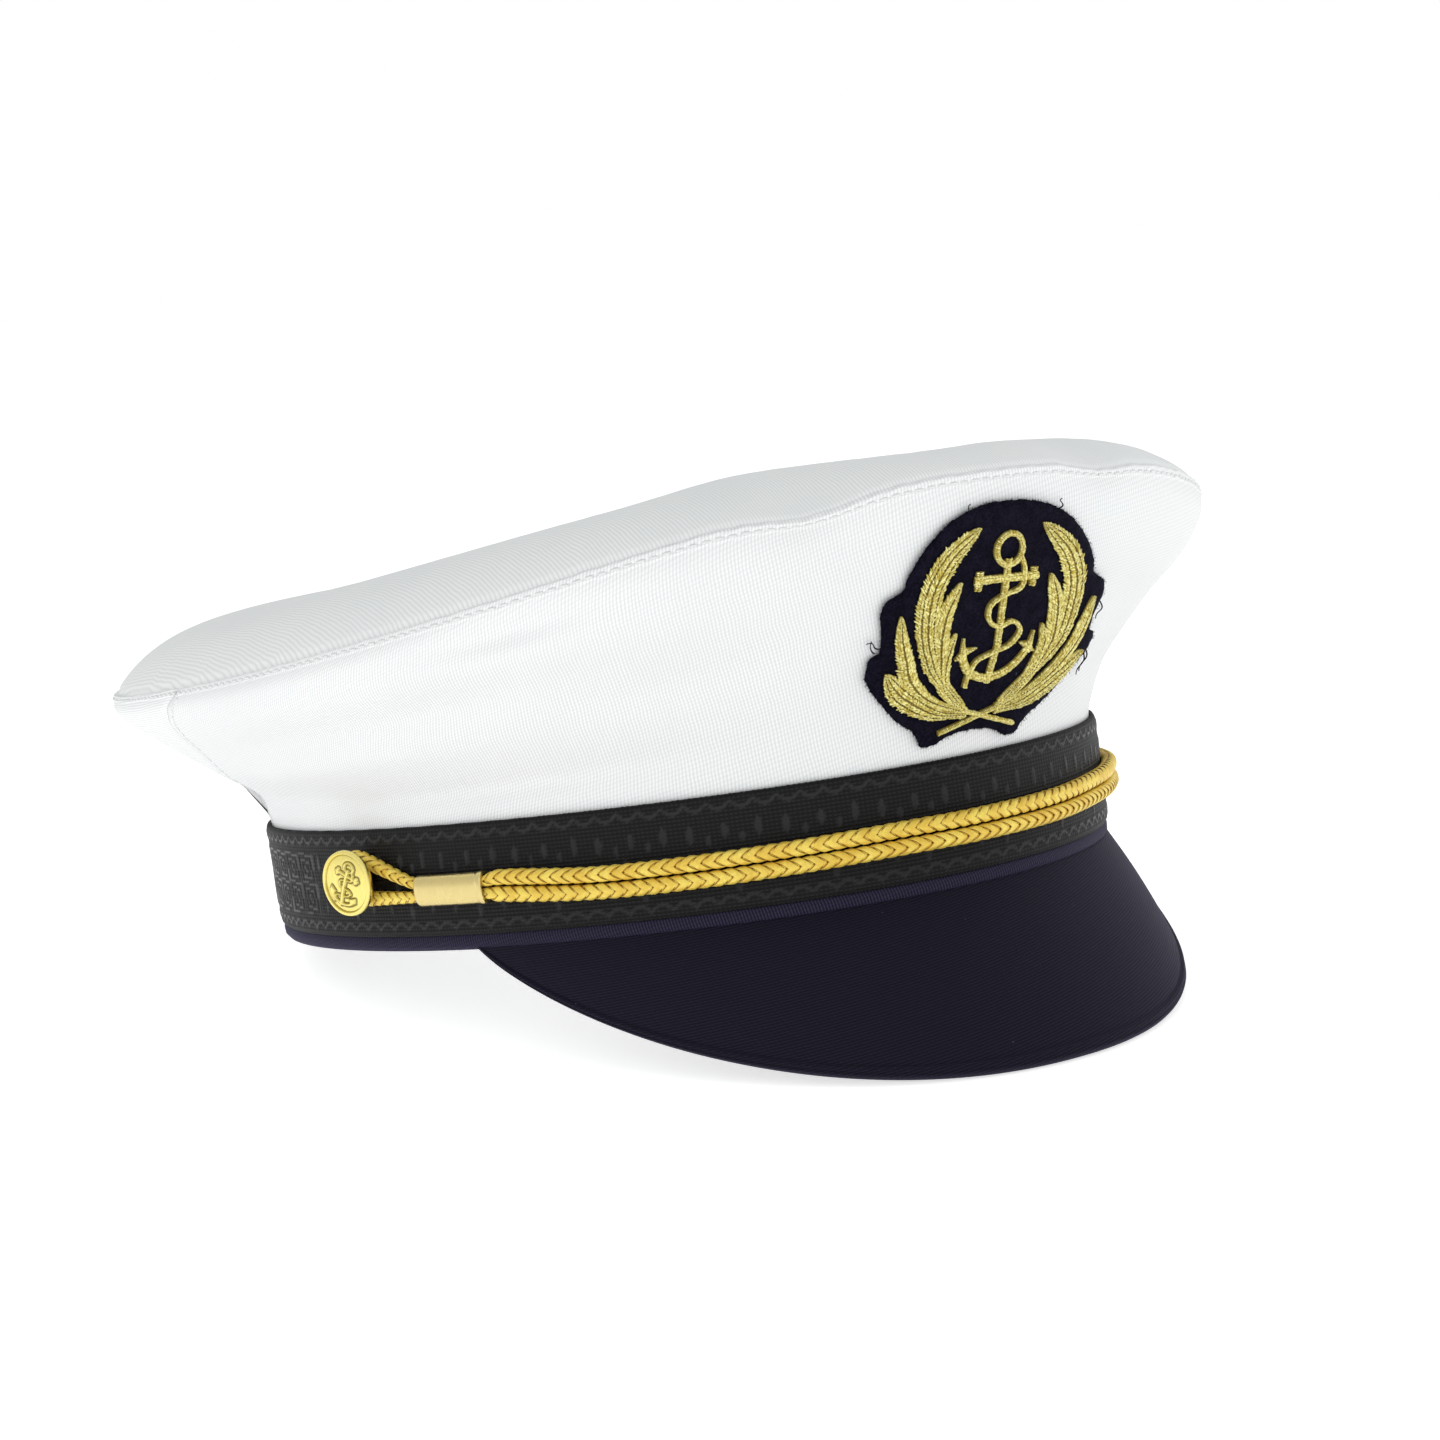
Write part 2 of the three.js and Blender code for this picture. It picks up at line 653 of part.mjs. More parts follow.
function laidOn(geometry, place) {
  const position = geometry.getAttribute('position');
  const positions = [];
  for (let i = 0; i < position.count; i += 1) {
    positions.push(...place(position.getX(i), position.getY(i), position.getZ(i)).toArray());
  }
  return closedGeometry(positions, Array.from(geometry.getIndex().array));
}

// Button: shank, disc with a rim, and the raised anchor. Z points away from the hat.
function buttonGeometry() {
  const back = buttonStandoff;
  const face = back + buttonThickness;
  const rim = face + buttonShape.rimRise;
  const inner = buttonShape.rimInner * buttonRadius;
  const middle = inner / 2;
  const domeAt = (radius) => {
    return face - buttonShape.domeDrop + buttonDome * (1 - (radius / buttonRadius) ** 2);
  };
  const profile = [
    [0, clearance],
    [shankRadius, clearance],
    [shankRadius, back],
    [inner, back],
    [buttonRadius, back + buttonShape.edge * buttonThickness],
    [buttonShape.rimOuter * buttonRadius, rim],
    [buttonShape.rimTop * buttonRadius, rim],
    [inner, domeAt(inner)],
    [middle, domeAt(middle)],
    [0, domeAt(0)],
  ];
  const lathe = new THREE.LatheGeometry(profile.map(([x, y]) => new THREE.Vector2(x, y)), buttonSides);
  lathe.rotateX(Math.PI / 2);
  const corners = Array.from(lathe.getAttribute('position').array);
  const disc = closedGeometry(corners, Array.from(lathe.getIndex().array));
  const size = buttonAnchor * buttonRadius;
  const tilt = new THREE.Vector3(0, 0, 1);
  const flat = anchorSolids(size, -buttonRelief, buttonRelief, coarseSteps);
  const relief = flat.map((piece) => laidOn(piece, (x, y, z) => {
    const point = new THREE.Vector3(x, y - size / 2, 0).applyAxisAngle(tilt, -radians(buttonTilt));
    return point.setZ(z + domeAt(point.length()));
  }));
  return joined([disc, ...relief]);
}

// Badge

// Shares along the front centre line of the crown, with the distance of each from the ribbon's top edge
const frontLine = [];
const lineStart = ribbonTuck / (topPoint(0, 1).z - crownFoot);
for (let i = 0, length = 0; i <= 60; i += 1) {
  const share = lerp(lineStart, 1, i / 60);
  if (i > 0) {
    length += sidePoint(0, share).distanceTo(sidePoint(0, frontLine.at(-1).share));
  }
  frontLine.push({ share, length });
}

// A point over the crown, given by its distances across and up from the front centre of the ribbon.
function overCrown(across, up, lift) {
  const share = inTable(frontLine, Math.min(up, frontLine.at(-1).length), 'length', 'share');
  const stride = Math.sign(across) * radians(1);
  let angle = 0;
  let left = Math.abs(across);
  while (left > 0) {
    const step = sidePoint(angle, share).distanceTo(sidePoint(angle + stride, share));
    angle += stride * Math.min(left / step, 1);
    left -= step;
  }
  return offsetPoint(crownPoint, angle, share, lift);
}

// Badge coordinates: across and up from the foot of the patch, before it leans and drifts.
function onBadge(x, y, lift) {
  const middle = badgeHeight / 2;
  const lean = -radians(badgeLean);
  const skew = badgeSkew * (y - middle);
  const across = x * Math.cos(lean) - (y - middle) * Math.sin(lean) - skew;
  const up = x * Math.sin(lean) + (y - middle) * Math.cos(lean) + middle;
  const drift = badgeDrift * Math.max(1 - up / badgeDriftHeight, 0);
  return overCrown(across + badgeShift - drift, up + badgeFoot, lift);
}

function patchGeometry() {
  const right = patchOutline.map(({ across, up }) => [across * badgeHalfWidth, up * badgeHeight]);
  const left = right.slice(1, -1).reverse().map(([x, y]) => [-x, y]);
  const outline = [...right, ...left];
  const rings = [1, 0.93, 0.5, 0];
  const middle = 0.5 * badgeHeight;
  const at = ([x, y], ring, lift) => onBadge(x * ring, middle + (y - middle) * ring, lift);
  const sections = outline.map((corner) => [
    ...rings.map((ring) => at(corner, ring, ring === 1 ? badgeFace - 0.3 * badgeWall : badgeFace)),
    ...rings.map((ring) => at(corner, ring, badgeFace - badgeWall)).reverse(),
  ]);
  return skin(sections, true);
}

function leafBar({ way, width }, side, steps, tipped) {
  const points = way.map(([x, y]) => [side * x * badgeHalfWidth, y * badgeHeight]);
  const widthAt = (share) => {
    const full = width * badgeHalfWidth;
    const swell = Math.sin(Math.PI * Math.min(share + 0.02, 1) ** 0.75) ** 0.7;
    return tipped ? full * Math.max(swell, share < 0.5 ? 0.12 : 0.4) : full;
  };
  return bar(flatCurve(points), steps, false, widthAt, 0, 1);
}

function wreathGeometry() {
  const pieces = [];
  for (const side of [-1, 1]) {
    branch.forEach((leaf, i) => {
      const raised = leafBar(leaf, side, 7, true);
      raised.scale(1, 1, embroideryRise * (1 - 0.04 * i));
      pieces.push(raised);
    });
    const foot = leafBar(stem, side, 4, false);
    foot.scale(1, 1, embroideryRise * (side > 0 ? 0.7 : 0.8));
    pieces.push(foot);
  }
  return laidOn(joined(pieces), (x, y, z) => onBadge(x, y, z + badgeFace + clearance));
}

function anchorGeometry() {
  const flat = joined(anchorSolids(anchorHeight, 0, embroideryRise, fineSteps));
  return laidOn(flat, (x, y, z) => onBadge(x, y + anchorLift, z + badgeFace + clearance));
}

// Materials and assembly

function finish(color, roughness, metalness) {
  return new THREE.MeshStandardMaterial({ color, roughness, metalness });
}

const whiteTwill = finish(0xf1f2f1, 0.85, 0);
const blackRibbon = finish(0x202124, 0.7, 0);
const navyTwill = finish(0x1b1d2b, 0.8, 0);
const goldBraid = finish(0xdba52f, 0.6, 0);
const brass = finish(0xd8c25c, 0.32, 1);
const patchCloth = finish(0x14141f, 0.9, 0);
const goldThread = finish(0xc9b650, 0.5, 0.6);

const hat = new THREE.Group();

function add(name, geometry, material) {
  const piece = new THREE.Mesh(geometry, material);
  piece.name = name;
  hat.add(piece);
  return piece;
}

add('base_band', ringWall(0, -bandWall, 0, crownFoot - clearance), navyTwill);
add('ribbon', ringWall(ribbonOuter, ribbonInner, ribbonFoot, ribbonTop), blackRibbon);
add('crown_front', sidePanel(false), whiteTwill);
add('crown_back', sidePanel(true), whiteTwill);
add('crown_top', topPanel(), whiteTwill);
const peak = add('peak', peakGeometry(), navyTwill);
add('cord', cordGeometry(), goldBraid);
add('badge_backing', patchGeometry(), patchCloth);
add('badge_wreath', wreathGeometry(), goldThread);
add('badge_anchor', anchorGeometry(), goldThread);

for (const [name, side] of [['right', -1], ['left', 1]]) {
  add(`sleeve_${name}`, sleeveGeometry(side), brass);
  const button = add(`button_${name}`, buttonGeometry(), brass);
  const facing = side * radians(buttonAngle - buttonTurn);
  button.position.copy(ribbonPoint(side * radians(buttonAngle), buttonHeight, 0));
  button.rotation.set(Math.PI / 2, 0, facing, 'ZXY');
}

// The hat leans back until the peak and the rear of the rim both touch the table.
const peakCorners = peak.geometry.getAttribute('position');
let lean = 0;
for (let i = 0; i < peakCorners.count; i += 1) {
  lean = Math.max(lean, Math.atan2(-peakCorners.getZ(i), bandHalfLength - peakCorners.getY(i)));
}
hat.rotation.x = -lean;

const part = new THREE.Group();
part.add(hat);
part.updateMatrixWorld(true);
const bounds = new THREE.Box3().setFromObject(part, true);
const middle = bounds.getCenter(new THREE.Vector3());
hat.position.set(-middle.x, -middle.y, -bounds.min.z);

export default part;
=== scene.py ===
# %% [markdown]
# # A captain's hat, dressed for its picture
# The solids of the hat are already made, at their real size. This lesson keeps them as a fixed frame
# and lays the visible cloth, ribbon, braid, brass and embroidery over them, one piece after another.

# %% Load the solids
import math

import bmesh
import bpy
import numpy as np
from mathutils import Matrix, Vector


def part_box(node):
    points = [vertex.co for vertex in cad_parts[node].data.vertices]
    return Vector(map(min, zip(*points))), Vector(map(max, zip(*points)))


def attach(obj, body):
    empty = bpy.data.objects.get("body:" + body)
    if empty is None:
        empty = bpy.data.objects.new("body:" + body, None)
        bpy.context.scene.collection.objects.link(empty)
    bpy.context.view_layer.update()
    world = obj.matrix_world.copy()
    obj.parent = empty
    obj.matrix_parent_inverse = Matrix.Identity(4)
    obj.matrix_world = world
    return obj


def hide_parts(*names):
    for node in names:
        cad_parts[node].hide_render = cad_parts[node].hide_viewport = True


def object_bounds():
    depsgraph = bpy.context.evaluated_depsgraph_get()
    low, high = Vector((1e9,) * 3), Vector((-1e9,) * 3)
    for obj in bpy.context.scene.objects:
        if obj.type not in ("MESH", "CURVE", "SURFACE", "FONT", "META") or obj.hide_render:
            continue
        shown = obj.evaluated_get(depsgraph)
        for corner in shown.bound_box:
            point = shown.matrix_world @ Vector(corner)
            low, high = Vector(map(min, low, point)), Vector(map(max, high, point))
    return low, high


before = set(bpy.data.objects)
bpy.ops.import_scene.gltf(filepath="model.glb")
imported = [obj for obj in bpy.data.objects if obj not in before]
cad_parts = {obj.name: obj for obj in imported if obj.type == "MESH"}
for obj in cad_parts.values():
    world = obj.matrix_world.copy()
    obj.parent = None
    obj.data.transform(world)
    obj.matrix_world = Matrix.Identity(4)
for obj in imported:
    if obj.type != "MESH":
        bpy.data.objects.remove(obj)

for leftover in ("Cube", "Light", "Camera"):
    if leftover in bpy.data.objects:
        bpy.data.objects.remove(bpy.data.objects[leftover])
cad_low, cad_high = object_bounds()

MM = 0.001
BODY = "root"
print("The solids measure", [round(side / MM, 1) for side in cad_high - cad_low], "mm")

# %% [markdown]
# ## The hat's own upright frame
# A hat is easiest to describe standing straight: the rim is level, angles run round the head from the
# front, and heights count from the rim. On the table it leans back on its peak. The lean could be typed
# in, but it is read from the head band's solid here, so that the cloth always fits the solids.

# %% Sizes of the band, in millimetres
BAND_HALF_LENGTH = 104.7
BAND_HALF_WIDTH = 88.0
BAND_TAPER = -0.09
BAND_WALL = 2.0
RIBBON_WALL = 1.0
RIBBON_FOOT = 3.3
RIBBON_HEIGHT = 22.8
RIBBON_TOP = RIBBON_FOOT + RIBBON_HEIGHT
RIBBON_TUCK = 1.0
CLEARANCE = 0.3
CROWN_FOOT = RIBBON_TOP - RIBBON_TUCK
BAND_HEIGHT = CROWN_FOOT - CLEARANCE

# %% Find how the hat leans
band_low, band_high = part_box("base_band")
deep = (band_high.y - band_low.y) / MM
tall = (band_high.z - band_low.z) / MM
length = 2 * BAND_HALF_LENGTH
LEAN = math.asin((length * tall - BAND_HEIGHT * deep) / (length**2 - BAND_HEIGHT**2))
LEAN_MATRIX = np.array(Matrix.Rotation(-LEAN, 3, "X"))
HAT_CENTRE = np.array((
    (band_low.x + band_high.x) / 2 / MM,
    band_high.y / MM - BAND_HALF_LENGTH * math.cos(LEAN) - BAND_HEIGHT * math.sin(LEAN),
    band_low.z / MM + BAND_HALF_LENGTH * math.sin(LEAN),
))


def to_row(points):
    """From the upright hat, in millimetres, to the leaning hat on its table, in metres."""
    return (np.asarray(points, float) @ LEAN_MATRIX.T + HAT_CENTRE) * MM


print("The hat leans back by", round(math.degrees(LEAN), 2), "degrees")

# %% [markdown]
# ## Small tools for meshes
# Most pieces are a row of sections: a strip of cloth is a grid, a wall is a closed outline swept round
# the head, and a cord is a circle swept along a path. One function skins such a row. It also lays a UV
# map in metres of cloth, so that a weave keeps its real scale wherever the cloth bends.

# %% Skin a row of sections


def finish_mesh(name, points, faces, material, uv=None, smooth=True):
    """A mesh object from row-frame points and faces. uv holds one pair for each corner of each face."""
    mesh = bpy.data.meshes.new(name)
    mesh.from_pydata(np.asarray(points).tolist(), [], np.asarray(faces).tolist())
    if uv is not None:
        layer = mesh.uv_layers.new(name="cloth")
        layer.data.foreach_set("uv", np.asarray(uv, np.float32).ravel())
    mesh.materials.append(material)
    mesh.polygons.foreach_set("use_smooth", [smooth] * len(mesh.polygons))
    mesh.update()
    piece = bpy.data.objects.new(name, mesh)
    bpy.context.collection.objects.link(piece)
    return piece


def sweep(sections, loop, lay=None, closed=True):
    """Points, four-sided faces and UV corners of a row of sections, each a row of points.

    loop joins the last section to the first, and closed joins the last point of a section to its first.
    lay holds a UV pair for each point. A loop's lay has one section more, for where it meets itself.
    """
    sections = np.asarray(sections, float)
    rows, count = sections.shape[:2]
    i = np.arange(rows if loop else rows - 1)[:, None]
    j = np.arange(count if closed else count - 1)[None, :]
    near, far = i * count, (i + 1) % rows * count
    here, after = j + 0 * i, (j + 1) % count + 0 * i
    faces = np.stack([near + here, far + here, far + after, near + after], -1).reshape(-1, 4)
    if lay is None:
        return sections.reshape(-1, 3), faces, None
    lay = np.asarray(lay, float)
    corners = [lay[i, here], lay[i + 1, here], lay[i + 1, after], lay[i, after]]
    return sections.reshape(-1, 3), faces, np.stack(corners, 2).reshape(-1, 2)


def capped(sections, lay):
    """As sweep, for an open row, with both ends closed by strips across the section.

    A section has an even number of points, and the strips join its two halves.
    """
    points, faces, uv = sweep(sections, False, lay)
    rows, count = np.asarray(sections).shape[:2]
    j = np.arange(count // 2 - 1)
    k = count - 1 - j
    last = (rows - 1) * count
    start = np.stack([j, j + 1, k - 1, k], -1)
    end = np.stack([last + k, last + k - 1, last + j + 1, last + j], -1)
    flat = np.asarray(lay, float).reshape(-1, 2)
    caps = np.concatenate([start, end])
    return points, np.concatenate([faces, caps]), np.concatenate([uv, flat[caps].reshape(-1, 2)])


# %% Close, join and turn meshes


def end_cap(points, rim, flip):
    """The points with one more in the middle of a rim, and the faces that fan out from it.

    Each face spans two steps of the rim, so that it has four sides like all the others.
    """
    near = rim[::2]
    centre = np.full(len(near), len(points))
    fan = np.stack([near, rim[1::2], np.roll(near, -1), centre], -1)
    points = np.concatenate([points, points[rim].mean(0)[None]])
    return points, fan[:, ::-1] if flip else fan


def joined_parts(parts):
    """One set of points, faces and UV corners from several."""
    points, faces, uvs, start = [], [], [], 0
    for part_points, part_faces, part_uv in parts:
        points.append(part_points)
        faces.append(np.asarray(part_faces) + start)
        uvs.append(np.zeros((len(part_faces) * 4, 2)) if part_uv is None else part_uv)
        start += len(part_points)
    return np.concatenate(points), np.concatenate(faces), np.concatenate(uvs)


def outward(piece):
    """Turns the faces of a closed mesh outwards."""
    mesh = piece.data
    corners = np.zeros(len(mesh.vertices) * 3)
    mesh.vertices.foreach_get("co", corners)
    corners = corners.reshape(-1, 3)
    mesh.calc_loop_triangles()
    triangles = np.zeros(len(mesh.loop_triangles) * 3, int)
    mesh.loop_triangles.foreach_get("vertices", triangles)
    a, b, c = corners[triangles.reshape(-1, 3)].transpose(1, 0, 2)
    if np.einsum("ij,ij->i", a, np.cross(b, c)).sum() < 0:
        mesh.flip_normals()
    return piece


def welded(piece, distance=0.02 * MM):
    """Merges the corners that lie on each other and turns the faces outwards."""
    work = bmesh.new()
    work.from_mesh(piece.data)
    bmesh.ops.remove_doubles(work, verts=work.verts, dist=distance)
    bmesh.ops.recalc_face_normals(work, faces=work.faces)
    work.to_mesh(piece.data)
    work.free()
    piece.data.polygons.foreach_set("use_smooth", [True] * len(piece.data.polygons))
    return outward(piece)


# %% [markdown]
# ## Tables become smooth curves
# The profile of the crown is a short table. Straight lines between its rows would show as creases in
# white cloth, so a smooth curve is run through them. This one never overshoots between two rows, which
# a plain spline would do.

# %% Curves through a table


def smooth_curve(key, keys, values):
    """Values at key of a smooth curve through a table, rising and falling only where the table does."""
    key = np.asarray(key, float)
    keys, values = np.asarray(keys, float), np.asarray(values, float)
    step = np.diff(keys)
    slope = np.diff(values) / step
    product = slope[:-1] * slope[1:]
    total = np.where(np.abs(slope[:-1] + slope[1:]) < 1e-12, 1, slope[:-1] + slope[1:])
    inner = np.where(product > 0, 2 * product / total, 0)
    tangent = np.concatenate([slope[:1], inner, slope[-1:]])
    i = np.clip(np.searchsorted(keys, key, side="right") - 1, 0, len(step) - 1)
    t = np.clip((key - keys[i]) / step[i], 0, 1)
    start = values[i] * (1 + 2 * t) * (1 - t) ** 2 + tangent[i] * step[i] * t * (1 - t) ** 2
    end = values[i + 1] * t * t * (3 - 2 * t) - tangent[i + 1] * step[i] * t * t * (1 - t)
    return start + end


def smoothstep(x, low, high):
    t = np.clip((np.asarray(x, float) - low) / (high - low), 0, 1)
    return t * t * (3 - 2 * t)


def hump(x, centre, width):
    return np.exp(-(((x - centre) / width) ** 2))


def unit(vectors):
    size = np.linalg.norm(vectors, axis=-1, keepdims=True)
    return vectors / np.maximum(size, 1e-12)


def cloth_lengths(rows):
    """Lengths from the start of a line of points, or of each of several lines."""
    steps = np.linalg.norm(np.diff(rows, axis=-2), axis=-1)
    return np.concatenate([np.zeros((*steps.shape[:-1], 1)), np.cumsum(steps, -1)], -1)


def through(points, count, loop=False):
    """count points at equal steps along a smooth curve through a few points, and its tangents."""
    points = np.asarray(points, float)
    if loop:
        padded = np.concatenate([points[-1:], points, points[:2]])
    else:
        padded = np.concatenate([2 * points[:1] - points[1:2], points, 2 * points[-1:] - points[-2:-1]])
    t = np.linspace(0, 1, 24, endpoint=False)[:, None, None]
    a, b, c, d = padded[:-3], padded[1:-2], padded[2:-1], padded[3:]
    dense = 0.5 * (2 * b + (c - a) * t + (2 * a - 5 * b + 4 * c - d) * t**2 + (3 * b - a - 3 * c + d) * t**3)
    dense = dense.transpose(1, 0, 2).reshape(-1, points.shape[1])
    dense = np.concatenate([dense, points[:1] if loop else points[-1:]])
    way = np.concatenate([[0], np.cumsum(np.linalg.norm(np.diff(dense, axis=0), axis=1))])
    at = np.linspace(0, way[-1], count + 1 if loop else count)
    even = np.stack([np.interp(at, way, column) for column in dense.T], -1)
    if loop:
        wrapped = np.concatenate([even[-2:-1], even, even[1:2]])
        return even[:-1], unit(wrapped[2:] - wrapped[:-2])[:-1], way[-1]
    return even, unit(np.gradient(even, axis=0)), way[-1]


# %% [markdown]
# ## Writing materials as formulas
# Cloth is a small sum of waves: threads one way, threads the other way, and a little chance. Such
# formulas are easier to read as code than as a picture of nodes, so a tiny helper turns them into
# nodes. Each material starts from the object's own coordinates or from its UV map.

# %% A helper for shader formulas


class Finish:
    """A material whose nodes are written as formulas."""

    def __init__(self, name, colour, roughness, **sockets):
        self.material = bpy.data.materials.new(name)
        self.material.use_nodes = True
        self.tree = self.material.node_tree
        self.shader = self.tree.nodes["Principled BSDF"]
        self.shader.inputs["Base Color"].default_value = (*colour, 1)
        self.shader.inputs["Roughness"].default_value = roughness
        for socket, value in sockets.items():
            self.shader.inputs[socket.replace("_", " ").title()].default_value = value

    def node(self, kind, **settings):
        made = self.tree.nodes.new(kind)
        for key, value in settings.items():
            setattr(made, key, value)
        return made

    def put(self, socket, value):
        if isinstance(value, bpy.types.NodeSocket):
            self.tree.links.new(value, socket)
        else:
            socket.default_value = value

    def math(self, operation, *values):
        made = self.node("ShaderNodeMath", operation=operation)
        for socket, value in zip(made.inputs, values):
            self.put(socket, value)
        return made.outputs[0]

    def add(self, *values):
        total = values[0]
        for value in values[1:]:
            total = self.math("ADD", total, value)
        return total

    def times(self, a, b):
        return self.math("MULTIPLY", a, b)

    def sine(self, value, pitch):
        """A wave between 0 and 1 that repeats after a pitch, in metres."""
        turn = self.times(value, 2 * math.pi / pitch)
        return self.math("MULTIPLY_ADD", self.math("SINE", turn), 0.5, 0.5)

    def uv(self):
        made = self.node("ShaderNodeUVMap", uv_map="cloth")
        split = self.node("ShaderNodeSeparateXYZ")
        self.put(split.inputs[0], made.outputs[0])
        return split.outputs[0], split.outputs[1], made.outputs[0]

    def place(self):
        return self.node("ShaderNodeTexCoord").outputs["Object"]

    def attribute(self, name):
        return self.node("ShaderNodeAttribute", attribute_name=name).outputs["Fac"]

    def noise(self, where, size, detail=2.0, stretch=(1, 1, 1)):
        """Smooth chance between 0 and 1, whose patches measure about size, in metres."""
        mapping = self.node("ShaderNodeMapping")
        mapping.inputs["Scale"].default_value = stretch
        self.put(mapping.inputs["Vector"], where)
        made = self.node("ShaderNodeTexNoise")
        made.inputs["Scale"].default_value = 1 / size
        made.inputs["Detail"].default_value = detail
        self.put(made.inputs["Vector"], mapping.outputs[0])
        return made.outputs["Fac"]

    def between(self, value, low, high, to_low=0.0, to_high=1.0):
        made = self.node("ShaderNodeMapRange", interpolation_type="SMOOTHSTEP")
        for socket, number in zip(made.inputs, (value, low, high, to_low, to_high)):
            self.put(socket, number)
        return made.outputs[0]

    def mix(self, share, first, second):
        made = self.node("ShaderNodeMix", data_type="RGBA")
        self.put(made.inputs["Factor"], share)
        for socket, value in zip((made.inputs[6], made.inputs[7]), (first, second)):
            self.put(socket, value if isinstance(value, bpy.types.NodeSocket) else (*value, 1))
        return made.outputs[2]

    def colour(self, value):
        self.put(self.shader.inputs["Base Color"], value)

    def roughness(self, value):
        self.put(self.shader.inputs["Roughness"], value)

    def bump(self, height, distance, strength=1.0):
        made = self.node("ShaderNodeBump")
        made.inputs["Strength"].default_value = strength
        made.inputs["Distance"].default_value = distance
        self.put(made.inputs["Height"], height)
        self.put(self.shader.inputs["Normal"], made.outputs[0])


# %% [markdown]
# ## White gabardine
# The crown is a tightly woven white twill. Close by it is rows of tiny slanted dots, and from afar it
# is nearly plain. Two waves crossing at a steep angle give the dots. Their valleys are painted a cool
# grey as shade, and a slow drift of chance keeps the rows from looking printed.

# %% White twill for the sides, the back and the top
TWILL_RIB_PITCH = 0.68
TWILL_DOT_PITCH = 0.86
TWILL_DEPTH = 0.07


def white_twill(name, steep, valley_painted_shade, rows):
    """steep turns the twill lines, in degrees from level, and valley_painted_shade is the grey painted into
    their valleys.

    rows says how far the ribs run on as plain rows, from 0 for dots alone to 1 for ribs alone.
    """
    cloth = Finish(name, (0.9, 0.91, 0.91), 0.85)
    across, up, where = cloth.uv()
    turn = math.radians(steep)
    drift = cloth.times(cloth.noise(where, 0.009), 0.0011)
    along = cloth.add(cloth.times(across, math.cos(turn)), cloth.times(up, math.sin(turn)))
    over = cloth.add(cloth.times(across, -math.sin(turn)), cloth.times(up, math.cos(turn)), drift)
    rib = cloth.sine(over, TWILL_RIB_PITCH * MM)
    dot = cloth.sine(along, TWILL_DOT_PITCH * MM)
    height = cloth.add(cloth.times(rib, rows), cloth.times(cloth.times(rib, dot), 1 - rows))
    slub = cloth.noise(where, 0.0007, 3.0)
    soft = cloth.noise(where, 0.03, 3.0)
    # painted shade: the low parts of the weave take the grey of the valleys, the high parts the white cloth
    mixed = cloth.between(cloth.add(height, cloth.times(slub, 0.3)), 0.15, 0.75)
    ground = cloth.mix(cloth.between(soft, 0.3, 0.7), (0.89, 0.895, 0.9), (0.92, 0.923, 0.925))
    cloth.colour(cloth.mix(mixed, valley_painted_shade, ground))
    cloth.bump(cloth.add(height, cloth.times(slub, 0.4)), TWILL_DEPTH * MM, 0.5)
    cloth.shader.inputs["Sheen Weight"].default_value = 0.12
    cloth.shader.inputs["Sheen Roughness"].default_value = 0.5
    cloth.shader.inputs["Specular IOR Level"].default_value = 0.25
    return cloth.material


# each panel paints its own grey of shade into the valleys; the top's is set lighter than the others
SIDE_TWILL = white_twill("white_twill_side", 101, (0.74, 0.752, 0.76), 0.35)
TOP_TWILL = white_twill("white_twill_top", -97, (0.78, 0.80, 0.795), 0.8)
BACK_TWILL = white_twill("white_twill_back", 2, (0.76, 0.775, 0.785), 0.6)

# %% [markdown]
# ## The shape of the crown
# The crown is cut cloth held between two ovals: the band below and the larger, squarer seam above.
# Between them the side swells outwards, straighter at the front, where the badge is sewn. Over the
# seam the top panel is nearly flat with a tight shoulder. It could be sculpted by hand, but a rule
# with a few sizes is easier to correct, and it is the same rule that made the solids.

# %% Ovals of the crown
CROWN_HALF_LENGTH = 127.7
CROWN_HALF_WIDTH = 115.2
CROWN_TAPER = -0.058
CROWN_SQUARENESS = 2.25
CROWN_SETBACK = 1.6
SEAM_HEIGHT = 66.6
SEAM_FRONT_RISE = 6.1
SEAM_END_RISE = 5.5
SEAM_BROW = 2.2
BROW_ANGLE = -5
BROW_SPREAD = 32
DOME_RISE = 12.9
DOME_POWER = 11
FRONT_STIFFNESS = 0.6
FRONT_SPREAD = 40
REAR_SEAM_FOOT = 117
REAR_SEAM_HEAD = 91
FOLD_DEPTH = 2.2
CLOTH_WALL = 1.5
# The side's profile: share of its height, and share of its reach from the band to the seam
PROFILE_HEIGHT = (0.000, 0.025, 0.130, 0.260, 0.410, 0.560, 0.705, 0.825, 0.920, 1.000)
PROFILE_REACH = (0.00, 0.00, 0.04, 0.13, 0.34, 0.59, 0.83, 0.97, 1.03, 1.00)


# %% Places on the band, the side and the top


def band_point(angle, height, offset):
    """A place off the band's oval, at a height over the rim."""
    x = (BAND_HALF_WIDTH + offset) * np.sin(angle) * (1 + BAND_TAPER * np.cos(angle))
    return np.stack(np.broadcast_arrays(x, -(BAND_HALF_LENGTH + offset) * np.cos(angle), height), -1)


def rounded(value):
    """Makes the oval of the top squarer than an ellipse."""
    return np.sign(value) * np.abs(value) ** (2 / CROWN_SQUARENESS)


def degrees_from(angle, degrees):
    """How far angles, in radians, lie from one in degrees, the shorter way round."""
    turn = np.abs(np.degrees(angle) - degrees) % 360
    return np.minimum(turn, 360 - turn)


def top_point(angle, ring):
    """A place of the top panel. ring is 1 at the seam and 0 in the middle."""
    x = ring * CROWN_HALF_WIDTH * rounded(np.sin(angle)) * (1 + CROWN_TAPER * np.cos(angle))
    y = CROWN_SETBACK - ring * CROWN_HALF_LENGTH * rounded(np.cos(angle))
    tilt = ring * SEAM_FRONT_RISE * np.cos(angle) + ring**2 * SEAM_END_RISE * np.cos(2 * angle)
    brow = SEAM_BROW * np.exp(-((degrees_from(angle, BROW_ANGLE) / BROW_SPREAD) ** 2))
    rise = DOME_RISE + (brow - DOME_RISE) * ring**DOME_POWER
    return np.stack(np.broadcast_arrays(x, y, SEAM_HEIGHT + tilt + rise), -1)


